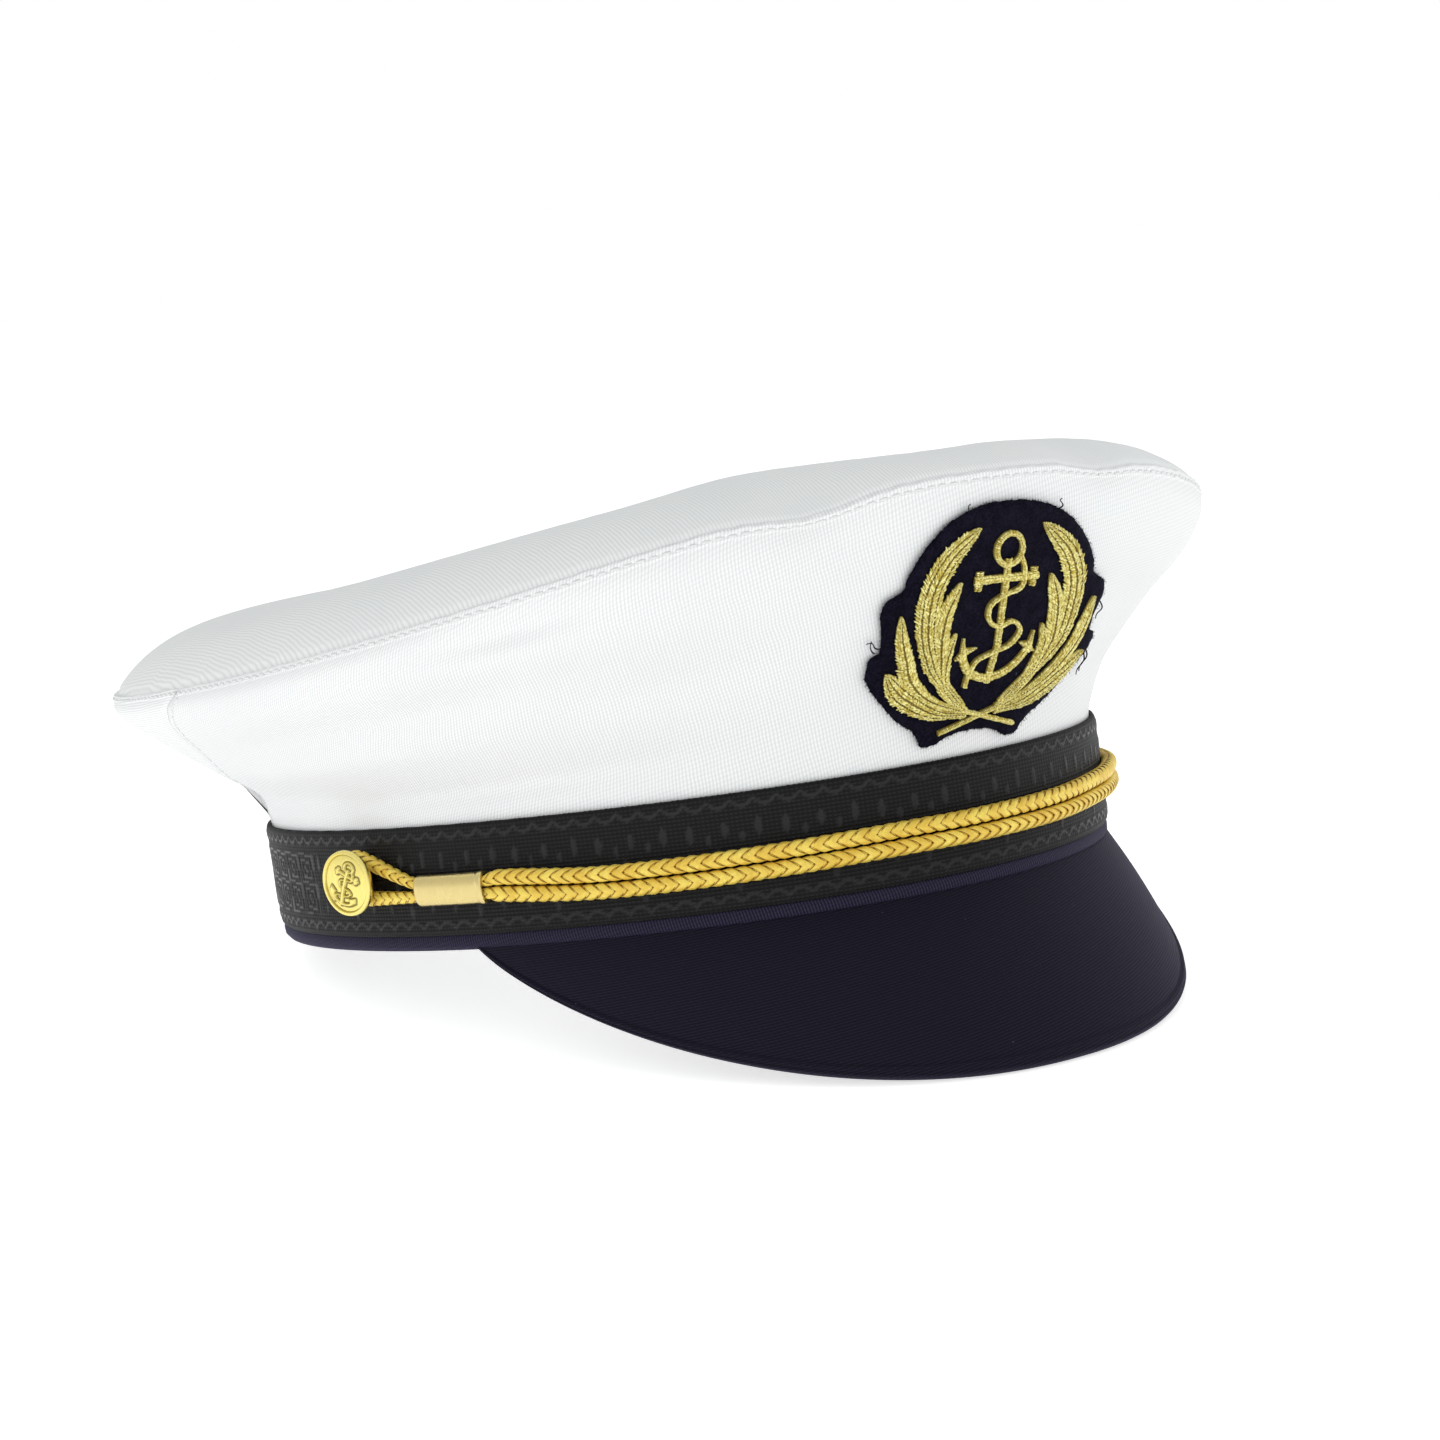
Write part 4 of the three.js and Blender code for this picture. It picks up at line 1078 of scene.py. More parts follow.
def band_piece():
    angle = np.linspace(-math.pi, math.pi, BAND_COLUMNS)[:, None]
    outline, _, _ = through(RIM_SECTION, BAND_ROWS)
    outline[:, 0] = np.clip(outline[:, 0], 0, BAND_HEIGHT)
    sections = band_point(angle, outline[None, :, 0], outline[None, :, 1])
    along = cloth_lengths(sections[:, ROLL_ROW])
    up = -cloth_lengths(outline)
    lay = np.stack(np.broadcast_arrays(along[:, None], up[None, :]), -1) * MM
    points, faces, uv = sweep(sections[:-1], True, lay)
    return outward(finish_mesh("base_band_cloth", to_row(points), faces, RIM_TWILL, uv))


base_band = band_piece()
print("Head band:", len(base_band.data.polygons), "faces")

# %% [markdown]
# ## Peak
# The peak is a stiff board covered with cloth. It springs from the band, falls steeply and is widest
# at the front. A folded strip of the same cloth binds its edge: a shallow groove marks where the strip
# starts, and a second one, close to the edge, where the upper and the lower cloth meet. Its rule is
# the same as the solid's: a straight fall whose width fades to both ends.

# %% Rule of the peak
PEAK_WIDTH = 41.6
PEAK_THICKNESS = 2.4
PEAK_HALF_ANGLE = 68.6
PEAK_SLOPE = math.radians(53)
PEAK_FAN = 0.02
PEAK_FULLNESS = 2.56
PEAK_TIP_POWER = 0.75
PEAK_ROOT_HEIGHT = 1.0
PEAK_CAMBER = 1.2
PEAK_END = 0.995


def peak_width(across):
    """The way from root to edge. across runs from -1 to 1 between the peak's ends."""
    return PEAK_WIDTH * np.maximum(1 - np.abs(across) ** PEAK_FULLNESS, 0) ** PEAK_TIP_POWER


def peak_point(across, share):
    """A place of the peak's upper side. share is 0 at the root and 1 at the edge."""
    across, share = np.broadcast_arrays(np.asarray(across, float), np.asarray(share, float))
    angle = across * math.radians(PEAK_HALF_ANGLE)
    root = band_point(angle, PEAK_ROOT_HEIGHT, CLEARANCE)
    facing = np.arctan2(np.sin(angle) / BAND_HALF_WIDTH, np.cos(angle) / BAND_HALF_LENGTH) * PEAK_FAN
    width = peak_width(across)
    flat, fall = math.cos(PEAK_SLOPE), math.sin(PEAK_SLOPE)
    away = np.stack([np.sin(facing) * flat, -np.cos(facing) * flat, np.full_like(facing, -fall)], -1)
    camber = (PEAK_CAMBER * np.sin(math.pi * share) * width / PEAK_WIDTH)[..., None]
    bulge = np.array([0, -fall, flat]) * camber
    return root + away * (width * share)[..., None] + bulge


# %% Make the peak with its bound edge
PEAK_COLUMNS = 240
PEAK_ROWS = 56
PEAK_CROWDING = 1.5
BINDING_WIDTH = 2.4
BINDING_RISE = 0.35
# place in shares of the binding's width, half width and depth
GROOVES = ((1.05, 0.45, 0.3), (0.4, 0.28, 0.4))


def peak_piece():
    turn = np.linspace(-0.5, 0.5, PEAK_COLUMNS + 1) * math.pi
    across = PEAK_END * np.sin(turn)[:, None]
    share = (1 - (1 - np.linspace(0, 1, PEAK_ROWS)) ** PEAK_CROWDING)[None, :]
    width = peak_width(across)
    left = (1 - share) * width
    normal = -normals_of(peak_point, across, share, 1e-4)
    grooves = sum(depth * hump(left, BINDING_WIDTH * place, wide) for place, wide, depth in GROOVES)
    band = BINDING_RISE * (1 - smoothstep(left, BINDING_WIDTH * 0.85, BINDING_WIDTH * 1.1))
    lift = (band - grooves) * np.minimum(width / 6, 1)
    half = PEAK_THICKNESS / 2
    edge = np.sqrt(np.clip(1 - (1 - np.clip(left / half, 0, 1)) ** 2, 0, 1))
    middle = peak_point(across, share) - normal * half
    upper = middle + normal * ((half + lift) * edge)[..., None]
    lower = middle - normal * ((half + lift) * edge)[..., None]
    out = np.concatenate([upper, lower[:, ::-1][:, 1:]], 1)
    angle = across * math.radians(PEAK_HALF_ANGLE)
    heel = band_point(angle, -CLEARANCE, -BAND_WALL)
    sections = np.concatenate([out, heel], 1)
    lay = np.stack([sections[..., 0], cloth_lengths(sections)], -1) * MM
    points, faces, uv = capped(sections, lay)
    return outward(finish_mesh("peak_cloth", to_row(points), faces, PEAK_TWILL, uv))


peak = peak_piece()
print("Peak:", len(peak.data.polygons), "faces")

# %% [markdown]
# ## The way of the chin cord
# The cord is one closed loop. Two strands lie side by side over the front, go through a metal sleeve
# on each side and part to run round the shank of a button. The loop is held everywhere by the ribbon it
# lies on, so it keeps the line of the photograph: a table of heights against angles round the head.

# %% Route of the chin cord
STRAND_RADIUS = 1.6
PINCHED_RADIUS = 1.15
STRAND_GAP = 0.25
SLEEVE_WALL = 0.45
SLEEVE_START = 64.3
SLEEVE_END = 73.9
BUTTON_ANGLE = 83.5
BUTTON_HEIGHT = 16.1
CORD_LOOP_RADIUS = 4.4
CORD_WRAP = 110
STRAND_OFFSET = STRAND_RADIUS + STRAND_GAP / 2
PINCHED_OFFSET = PINCHED_RADIUS + STRAND_GAP / 2
CORD_STANDOFF = CLEARANCE + STRAND_RADIUS
SLEEVE_STANDOFF = CLEARANCE + SLEEVE_WALL + PINCHED_RADIUS + CLEARANCE
# angle round the head, and height as a share of the ribbon's top
CORD_LINE = (
    (-62, 0.508), (-51, 0.464), (-39, 0.460), (-26, 0.471), (-13, 0.483), (0, 0.478),
    (15, 0.480), (30, 0.502), (40, 0.520), (51, 0.512), (62, 0.508),
)
SLEEVE_HEIGHT = RIBBON_TOP * CORD_LINE[0][1]


def ribbon_point(angle, height, offset):
    return band_point(angle, height, CLEARANCE + RIBBON_WALL + offset)


def held(degrees, height, standoff, radius):
    """A row of the cord's route: a place over the ribbon, and the strand's radius there."""
    return (*ribbon_point(math.radians(degrees), height, standoff), radius)


def front_strand(level):
    rows = []
    for degrees, share in CORD_LINE:
        height = RIBBON_TOP * share + level * STRAND_OFFSET
        rows.append(held(degrees, height, CORD_STANDOFF, STRAND_RADIUS))
    return rows


def in_sleeve(side, level):
    """Three places of one strand inside a sleeve."""
    height = SLEEVE_HEIGHT + level * PINCHED_OFFSET
    sleeve = np.linspace(SLEEVE_START, SLEEVE_END, 3)
    return [held(side * degrees, height, SLEEVE_STANDOFF, PINCHED_RADIUS) for degrees in sleeve]


def turn_at_button(side):
    """Out through a sleeve, round the button's shank and back through the sleeve."""
    rounds = []
    for turn in np.radians(np.linspace(CORD_WRAP, -CORD_WRAP, 7)):
        degrees = BUTTON_ANGLE + math.degrees(CORD_LOOP_RADIUS * math.cos(turn) / BAND_HALF_LENGTH)
        height = BUTTON_HEIGHT + CORD_LOOP_RADIUS * math.sin(turn)
        rounds.append(held(side * degrees, height, CORD_STANDOFF, STRAND_RADIUS))
    return [*in_sleeve(side, 1), *rounds, *in_sleeve(side, -1)[::-1]]


CORD_ROUTE = [*front_strand(1), *turn_at_button(1), *front_strand(-1)[::-1], *turn_at_button(-1)[::-1]]
_, _, CORD_LENGTH = through([row[:3] for row in CORD_ROUTE], 100, loop=True)
print("The cord measures", round(CORD_LENGTH), "mm round its loop")

# %% [markdown]
# ## Braid
# Four yarns wind each way round a core and pass over and under each other, which makes the row of
# V-shaped hollows seen on the real cord. Each yarn here is a real flattened tube: its angle round the
# core grows with the way along the cord, and its distance from the core rises and falls twice in each
# turn. So it passes over two others and under two, and the over parts of both ways meet in a V. Each
# yarn is painted darker towards its edges as shade, and the core is painted dark brown, as the shade
# that shows through the gaps between the yarns.

# %% Places and directions along the cord
BRAID_LEAD = 10.4
BRAID_YARNS = 4
YARN_HALF_WIDTH = 0.78
YARN_HALF_THICKNESS = 0.30
BRAID_RADIUS = 1.22
BRAID_WAVE = 0.21
CORE_RADIUS = 0.92
CORE_STEPS = 620
BRAID_STEP = 0.52
YARN_SIDES = 8


def cord_frames(count):
    """Even points along the cord with its radius, the direction out of the hat, and the one across."""
    line, tangent, _ = through(CORD_ROUTE, count, loop=True)
    centre, radius = line[:, :3], line[:, 3]
    forward = unit(tangent[:, :3])
    out = centre * [1, 1, 0]
    out = unit(out - forward * np.sum(out * forward, 1, keepdims=True))
    return centre, radius, out, np.cross(forward, out)


# %% Gold yarn


def gold_braid():
    gold = Finish("gold_braid", (0.82, 0.6, 0.12), 0.35, metallic=0.2)
    place = gold.place()
    _, around, _ = gold.uv()
    # painted shade: each yarn is coloured darker towards both of its edges
    edge = gold.math("ABSOLUTE", gold.math("COSINE", gold.times(around, 1 / (YARN_HALF_WIDTH * MM))))
    grain = gold.noise(place, 0.0005, 3.0)
    slow = gold.noise(place, 0.004, 2.0)
    light = gold.mix(gold.between(slow, 0.35, 0.65), (0.84, 0.57, 0.07), (0.95, 0.74, 0.13))
    worn = gold.mix(gold.between(grain, 0.3, 0.7, 0.0, 0.3), light, (0.55, 0.33, 0.04))
    gold.colour(gold.mix(gold.between(edge, 0.8, 1.0), worn, (0.34, 0.17, 0.015)))
    gold.roughness(gold.between(grain, 0.3, 0.7, 0.32, 0.48))
    gold.bump(grain, 0.04 * MM, 0.6)
    return gold.material


# %% Plait the yarns


def tube(centre, first, second, half_first, half_second, sides, loop=True):
    """A tube with an elliptical section, and UV pairs: metres along it and metres round it."""
    turn = 2 * math.pi * np.arange(sides) / sides
    wide = np.asarray(half_first, float).reshape(-1, 1, 1) * first[:, None] * np.cos(turn)[None, :, None]
    thick = np.asarray(half_second, float).reshape(-1, 1, 1) * second[:, None] * np.sin(turn)[None, :, None]
    sections = centre[:, None] + wide + thick
    along = cloth_lengths(np.concatenate([centre, centre[:1]]) if loop else centre)
    around = turn * float(np.mean(half_first))
    lay = np.stack(np.broadcast_arrays(along[:, None], around[None, :]), -1) * MM
    return sections, lay


def braid():
    turns = round(CORD_LENGTH / BRAID_LEAD)
    count = int(CORD_LENGTH / BRAID_STEP)
    centre, radius, out, across = cord_frames(count)
    share = np.arange(count) / count
    scale = (radius / STRAND_RADIUS)[:, None]
    parts = []
    for way in (1, -1):
        for yarn in range(BRAID_YARNS):
            turn = way * 2 * math.pi * (turns * share + yarn / BRAID_YARNS)
            wave = way * BRAID_WAVE * np.sin(2 * turn)
            facing = out * np.cos(turn)[:, None] + across * np.sin(turn)[:, None]
            line = centre + facing * (BRAID_RADIUS + wave)[:, None] * scale
            ahead = unit(np.roll(line, -1, 0) - np.roll(line, 1, 0))
            wide = unit(np.cross(ahead, facing))
            flat_sides = (YARN_HALF_WIDTH * scale, YARN_HALF_THICKNESS * scale)
            sections, lay = tube(line, wide, np.cross(wide, ahead), *flat_sides, YARN_SIDES)
            parts.append(sweep(sections, True, lay))
    points, faces, uv = joined_parts(parts)
    return finish_mesh("cord_braid", to_row(points), faces, gold_braid(), uv)


def braid_core():
    centre, radius, out, across = cord_frames(CORE_STEPS)
    core = CORE_RADIUS * radius / STRAND_RADIUS
    sections, lay = tube(centre, across, out, core, core, YARN_SIDES)
    points, faces, uv = sweep(sections, True, lay)
    # painted shade: the core's dark brown stands for the shade seen in the gaps between the yarns
    material = Finish("cord_core", (0.16, 0.06, 0.008), 0.7).material
    return outward(finish_mesh("cord_core", to_row(points), faces, material, uv))


cord = braid()
core = braid_core()
print("Braid:", len(cord.data.polygons), "faces")

# %% [markdown]
# ## Brass sleeves
# Each sleeve is a short flattened tube of satin brass over both strands. It is bent to the curve of
# the head, its ends are rolled over, and the end towards the front is a little larger. A bevelled
# cylinder could be squeezed into that form. Sections along the band give it at once, with the bend.

# %% Brass


def brushed_brass(name, colour, roughness, scratch):
    brass = Finish(name, colour, roughness, metallic=1.0)
    place = brass.place()
    fine = brass.noise(place, 0.0009, 4.0, (1.0, 1.0, 0.25))
    recess_sink_and_shade = brass.attribute("recess_sink_and_shade")
    dark = tuple(0.16 * channel for channel in colour)
    # painted shade: the buttons' sunken parts are coloured dark brass
    brass.colour(brass.mix(recess_sink_and_shade, colour, dark))
    brass.roughness(brass.between(fine, 0.25, 0.75, roughness - 0.06, roughness + 0.12))
    brass.bump(fine, scratch * MM, 0.5)
    return brass.material


SATIN_BRASS = brushed_brass("satin_brass", (0.74, 0.60, 0.26), 0.3, 0.012)
BUTTON_BRASS = brushed_brass("button_brass", (0.90, 0.76, 0.24), 0.27, 0.01)

# %% Make the sleeves
SLEEVE_SIDES = 48
SLEEVE_STEPS = 46
SLEEVE_ROUNDNESS = 0.8
SLEEVE_LENGTH = 17
SLEEVE_GIRTH = 15
# share of the way from the front end, and how far the wall stands out
SLEEVE_PLACES = (
    (0.000, -0.30), (0.005, 0.02), (0.022, 0.17), (0.045, 0.20), (0.070, 0.12), (0.100, 0.02),
    (0.300, 0.00), (0.550, 0.00), (0.800, -0.02), (0.930, 0.00), (0.975, -0.04), (1.000, -0.30),
)


def flattened(wave):
    """Makes a round section fuller at its corners."""
    return np.sign(wave) * np.abs(wave) ** SLEEVE_ROUNDNESS


def sleeve_piece(side, name):
    profile, _, _ = through(SLEEVE_PLACES, SLEEVE_STEPS)
    inner_height = PINCHED_OFFSET + PINCHED_RADIUS + CLEARANCE
    inner_depth = PINCHED_RADIUS + CLEARANCE
    turn = 2 * math.pi * np.arange(SLEEVE_SIDES) / SLEEVE_SIDES
    places = np.concatenate([profile[:, 0], profile[::-1, 0]])
    walls = np.concatenate([SLEEVE_WALL + profile[:, 1], np.full(len(profile), 0.02)])
    angle = side * np.radians(SLEEVE_START + (SLEEVE_END - SLEEVE_START) * places)[:, None]
    height = SLEEVE_HEIGHT + (inner_height + walls[:, None]) * flattened(np.sin(turn))
    offset = SLEEVE_STANDOFF + (inner_depth + walls[:, None]) * flattened(np.cos(turn))
    sections = ribbon_point(angle, height, np.maximum(offset, 0.05))
    steps = np.abs(np.diff(places)) * SLEEVE_LENGTH + np.abs(np.diff(walls))
    along = np.concatenate([[0], np.cumsum(steps)])
    around = np.arange(SLEEVE_SIDES) / SLEEVE_SIDES * SLEEVE_GIRTH
    sections = np.concatenate([sections, sections[:1]])
    lay = np.stack(np.broadcast_arrays(np.append(along, along[-1])[:, None], around[None, :]), -1) * MM
    points, faces, uv = sweep(sections[:-1], True, lay)
    return outward(finish_mesh(name, to_row(points), faces, SATIN_BRASS, uv))


sleeve_right = sleeve_piece(-1, "sleeve_right_brass")
sleeve_left = sleeve_piece(1, "sleeve_left_brass")

# %% [markdown]
# ## Drawing an anchor
# The same anchor is on the badge and, small, on each button: a ring, a stock with a knob at each end,
# a shank, two curved arms with barbed flukes, and a rope winding round it. It is kept as strokes in
# shares of the anchor's height, each a line with a width, so one drawing serves both.

# %% Strokes of the anchor
# across and up, in shares of the anchor's height
ROPE_WAY = (
    (0.085, 0.800), (0.118, 0.730), (0.112, 0.620), (-0.015, 0.575), (-0.095, 0.520), (-0.090, 0.430),
    (-0.010, 0.385), (0.085, 0.410), (0.150, 0.350), (0.085, 0.265), (-0.035, 0.225), (-0.130, 0.185),
    (-0.160, 0.100), (-0.160, 0.030),
)
ARM_CENTRE = 0.330
ARM_RADIUS = 0.26
FLUKES = ((0.256, 0.320), (0.150, 0.250), (0.190, 0.150), (0.275, 0.215))


def arc(centre, radius, first, last, count):
    """Points of an arc between two angles in degrees, counted from straight down."""
    turn = np.radians(np.linspace(first, last, count))
    return np.stack([radius * np.sin(turn), centre - radius * np.cos(turn)], -1)


# name, line and width
ANCHOR_STROKES = (
    ("ring", arc(0.848, 0.092, 0, 360, 25), 0.034),
    ("stock", np.array([(-0.225, 0.680), (0.225, 0.680)]), 0.050),
    ("left knob", np.array([(-0.195, 0.628), (-0.195, 0.732)]), 0.050),
    ("right knob", np.array([(0.195, 0.628), (0.195, 0.732)]), 0.050),
    ("shank", np.array([(0.0, 0.790), (0.0, 0.040)]), 0.046),
    ("arms", arc(ARM_CENTRE, ARM_RADIUS, -68, 68, 25), 0.050),
)


# %% Distances to a drawing


def distance_to(points, line):
    """Distance of each point from a line of several straight parts."""
    start, span = line[:-1], np.diff(line, axis=0)
    toward = points[..., None, :] - start
    size = np.maximum(np.sum(span**2, -1), 1e-12)
    t = np.clip(np.sum(toward * span, -1) / size, 0, 1)
    return np.min(np.linalg.norm(toward - span * t[..., None], axis=-1), -1)


def inside_shape(points, corners):
    """Signed distance from a closed outline, below 0 inside it."""
    corners = np.asarray(corners, float)
    closed = np.concatenate([corners, corners[:1]])
    x, y = points[..., 0, None], points[..., 1, None]
    x0, y0 = closed[:-1, 0], closed[:-1, 1]
    x1, y1 = closed[1:, 0], closed[1:, 1]
    rise = np.where(y1 == y0, 1e-12, y1 - y0)
    crossing = ((y0 > y) != (y1 > y)) & (x < (x1 - x0) * (y - y0) / rise + x0)
    within = np.sum(crossing, -1) % 2 == 1
    return np.where(within, -1, 1) * distance_to(points, closed)


# %% [markdown]
# ## Brass buttons
# A button is a low dome with a thin raised rim and a thin raised anchor, pressed in one stroke. It is
# made as one height field over a disc: the dome, plus the rim, plus a soft step wherever a point lies
# near a stroke of the anchor. The shank goes into the ribbon, and the cord passes round it.

# %% Face of the buttons
BUTTON_RADIUS = 6.9
BUTTON_STANDOFF = 5.3
BUTTON_THICKNESS = 1.2
BUTTON_DOME = 0.7
BUTTON_TURN = 12
BUTTON_TILT = 28
BUTTON_RELIEF = 0.4
BUTTON_ANCHOR = np.array((2.0, 1.5))
BUTTON_RIM = 0.42
RECESS_DEPTH = 0.1


def button_face(points):
    """Height of the button's face above the edge of its dome, and the share of painted shade in its hollows.
    """
    share = np.linalg.norm(points, axis=-1) / BUTTON_RADIUS
    face = BUTTON_DOME * (1 - share**2)
    rim = BUTTON_RIM * smoothstep(share, 0.865, 0.905) * (1 - smoothstep(share, 0.975, 1.0) ** 2)
    turn = math.radians(BUTTON_TILT)
    turned = points @ np.array(((math.cos(turn), math.sin(turn)), (-math.sin(turn), math.cos(turn))))
    place = turned / (BUTTON_RADIUS * BUTTON_ANCHOR) + [0, 0.5]
    beyond = np.full(points.shape[:-1], 1.0)
    for _, line, width in ANCHOR_STROKES:
        beyond = np.minimum(beyond, distance_to(place, line) - width * 0.5)
    for side in (1, -1):
        beyond = np.minimum(beyond, inside_shape(place * [side, 1], FLUKES))
    rope, _, _ = through(ROPE_WAY, 60)
    beyond = np.minimum(beyond, distance_to(place, rope) - 0.015)
    inner = 1 - smoothstep(share, 0.82, 0.86)
    relief = (1 - smoothstep(beyond, -0.012, 0.008)) * inner
    # one share sinks the hollows and paints shade into them
    recess_sink_and_shade = hump(beyond, 0.016, 0.014) * inner + 0.7 * hump(share, 0.862, 0.012)
    return face + rim + BUTTON_RELIEF * relief - RECESS_DEPTH * recess_sink_and_shade, recess_sink_and_shade


# %% Make the buttons
SHANK_RADIUS = 1.5
BUTTON_SIDES = 160
SHANK_SHARE = SHANK_RADIUS / BUTTON_RADIUS
BUTTON_TOP = BUTTON_STANDOFF + BUTTON_THICKNESS
# share of the button's radius, and height over the ribbon
BUTTON_BACK = (
    (1.0, BUTTON_TOP - 0.35), (0.985, BUTTON_TOP - 0.7), (0.95, BUTTON_STANDOFF + 0.25),
    (0.9, BUTTON_STANDOFF + 0.05), (0.8, BUTTON_STANDOFF), (0.3, BUTTON_STANDOFF),
    (0.215, BUTTON_STANDOFF - 0.25), (SHANK_SHARE, BUTTON_STANDOFF - 0.7), (SHANK_SHARE, CLEARANCE),
    (0.02, CLEARANCE),
)


def button_piece(side, name):
    angle = side * math.radians(BUTTON_ANGLE)
    facing = side * math.radians(BUTTON_ANGLE - BUTTON_TURN)
    out = np.array([math.sin(facing), -math.cos(facing), 0])
    across = np.array([math.cos(facing), math.sin(facing), 0])
    up = np.array([0, 0, 1.0])
    ring = np.concatenate([np.linspace(0.012, 0.84, 64), np.linspace(0.85, 1, 20)])
    turn = 2 * math.pi * np.arange(BUTTON_SIDES)[:, None] / BUTTON_SIDES
    flat = np.stack(np.broadcast_arrays(ring * np.cos(turn), ring * np.sin(turn)), -1) * BUTTON_RADIUS
    face, recess_sink_and_shade = button_face(flat)
    rows = [np.concatenate([flat, (BUTTON_TOP + face)[..., None]], -1)]
    for radius, level in BUTTON_BACK:
        disc = np.concatenate([np.cos(turn), np.sin(turn)], 1) * radius * BUTTON_RADIUS
        rows.append(np.concatenate([disc, np.full((BUTTON_SIDES, 1), level)], 1)[:, None])
    local = np.concatenate(rows, 1)
    axes = np.stack([across, up, out])
    points = ribbon_point(angle, BUTTON_HEIGHT, 0) + local @ axes
    lay = np.concatenate([local[..., :2], local[:1, :, :2]]) * MM
    mesh_points, faces, uv = sweep(points, True, lay, closed=False)
    first = points.shape[1] * np.arange(BUTTON_SIDES)
    mesh_points, middle = end_cap(mesh_points, first, True)
    mesh_points, back = end_cap(mesh_points, first + points.shape[1] - 1, False)
    faces = np.concatenate([faces, middle, back])
    uv = np.concatenate([uv, np.zeros((4 * BUTTON_SIDES, 2))])
    button = outward(finish_mesh(name, to_row(mesh_points), faces, BUTTON_BRASS, uv))
    # painted shade of the hollows, kept on the points for the brass
    dark = np.zeros(len(mesh_points))
    dark[: points.shape[0] * points.shape[1]].reshape(points.shape[:2])[:, : recess_sink_and_shade.shape[1]] = recess_sink_and_shade
    button.data.attributes.new("recess_sink_and_shade", "FLOAT", "POINT").data.foreach_set("value", dark.clip(0, 1))
    return button


button_right = button_piece(-1, "button_right_brass")
button_left = button_piece(1, "button_left_brass")
print("Each button:", len(button_right.data.polygons), "faces")

# %% [markdown]
# ## Laying the badge over the crown
# The badge is sewn flat and then pressed onto the swelling front of the crown. A place of the badge is
# given in millimetres across and up. To find it on the crown, the height is walked along the cloth at
# the centre of the front, and the width is walked along the cloth at that height.

# %% From flat badge to crown
BADGE_HALF_WIDTH = 30.4
BADGE_HEIGHT = 49.6
BADGE_FOOT = 2.9
BADGE_SHIFT = 3.7
BADGE_LEAN = 2.0
BADGE_SKEW = 0.08
BADGE_PULL = (2.0, 3.8)
BADGE_DRIFT = 4.6
BADGE_DRIFT_HEIGHT = 20
PATCH_WALL = 1.2
BADGE_FACE = 1.5 * CLEARANCE + PATCH_WALL
STRIDE = math.radians(1)
front_share = np.linspace(0, 1, 400)
front_line = side_point(np.zeros_like(front_share), front_share)
front_length = cloth_lengths(front_line)
FRONT_START = np.interp(RIBBON_TOP, front_line[:, 2], front_length)
WALK = np.arange(-34, 48)


def over_crown(across, up, lift):
    """Places on the crown's front, given millimetres along the cloth and a lift above it."""
    across, up, lift = np.broadcast_arrays(*(np.asarray(value, float) for value in (across, up, lift)))
    share = np.interp(up + FRONT_START, front_length, front_share)
    reach = cloth_lengths(side_point(WALK * STRIDE, np.asarray(share)[..., None]))
    reach = reach - reach[..., -WALK[0], None]
    after = np.clip(np.sum(reach < across[..., None], -1), 1, len(WALK) - 1)
    low = np.take_along_axis(reach, after[..., None] - 1, -1)[..., 0]
    high = np.take_along_axis(reach, after[..., None], -1)[..., 0]
    angle = (WALK[0] + after - 1 + (across - low) / (high - low)) * STRIDE
    normal = normals_of(side_point, angle, np.clip(share, 2e-3, 1))
    return side_point(angle, share) + normal * lift[..., None], normal


def on_badge(x, y, lift):
    """The same, given a place of the badge: x across from its middle, y up from its foot."""
    turn = -math.radians(BADGE_LEAN)
    level = y - BADGE_HEIGHT / 2
    across = x * math.cos(turn) - level * (math.sin(turn) + BADGE_SKEW)
    up = BADGE_HEIGHT / 2 + x * math.sin(turn) + level * math.cos(turn)
    drift = BADGE_DRIFT * np.maximum(1 - up / BADGE_DRIFT_HEIGHT, 0)
    pull = np.where(x < 0, *BADGE_PULL) * (x / BADGE_HALF_WIDTH) ** 2
    return over_crown(across + BADGE_SHIFT + pull - drift, up + BADGE_FOOT, lift)


badge_top, _ = on_badge(0, BADGE_HEIGHT, 0)
print("The badge's top stands", round(float(badge_top[2]), 1), "mm over the rim")

# %% [markdown]
# ## Badge patch
# The patch is dark napped cloth, cut round the embroidery with a lobed edge. Its outline is a table of
# one half in shares of its size, mirrored and made smooth. Cut napped cloth frays, so the edge gets a
# little chance, a fringe of very short fibres and a few longer threads that escaped the scissors.

# %% Outline of the patch
# across in shares of half its width, and up in shares of its height
PATCH_OUTLINE = (
    (0.00, 1.000), (0.14, 0.996), (0.27, 0.982), (0.38, 0.960), (0.49, 0.930), (0.58, 0.888), (0.66, 0.840),
    (0.72, 0.790), (0.78, 0.722), (0.80, 0.684), (0.92, 0.648), (0.955, 0.600), (0.94, 0.545), (0.92, 0.500),
    (0.92, 0.432), (0.985, 0.414), (1.00, 0.380), (0.98, 0.330), (0.92, 0.285), (0.81, 0.224), (0.71, 0.170),
    (0.59, 0.115), (0.48, 0.075), (0.43, 0.042), (0.395, 0.010), (0.34, 0.000), (0.27, 0.010), (0.20, 0.032),
    (0.10, 0.046), (0.00, 0.050),
)
BADGE_SIZE = np.array((BADGE_HALF_WIDTH, BADGE_HEIGHT))
EDGE_POINTS = 640
chance = np.random.default_rng(7)


def ragged(count, rough):
    """A closed row of smooth chance, with waves of several lengths."""
    turn = 2 * math.pi * np.arange(count) / count
    total = np.zeros(count)
    for waves in (9, 23, 51, 97, 160):
        total += np.sin(waves * turn + chance.uniform(0, 7)) * chance.uniform(0.5, 1)
    return rough * total / 3


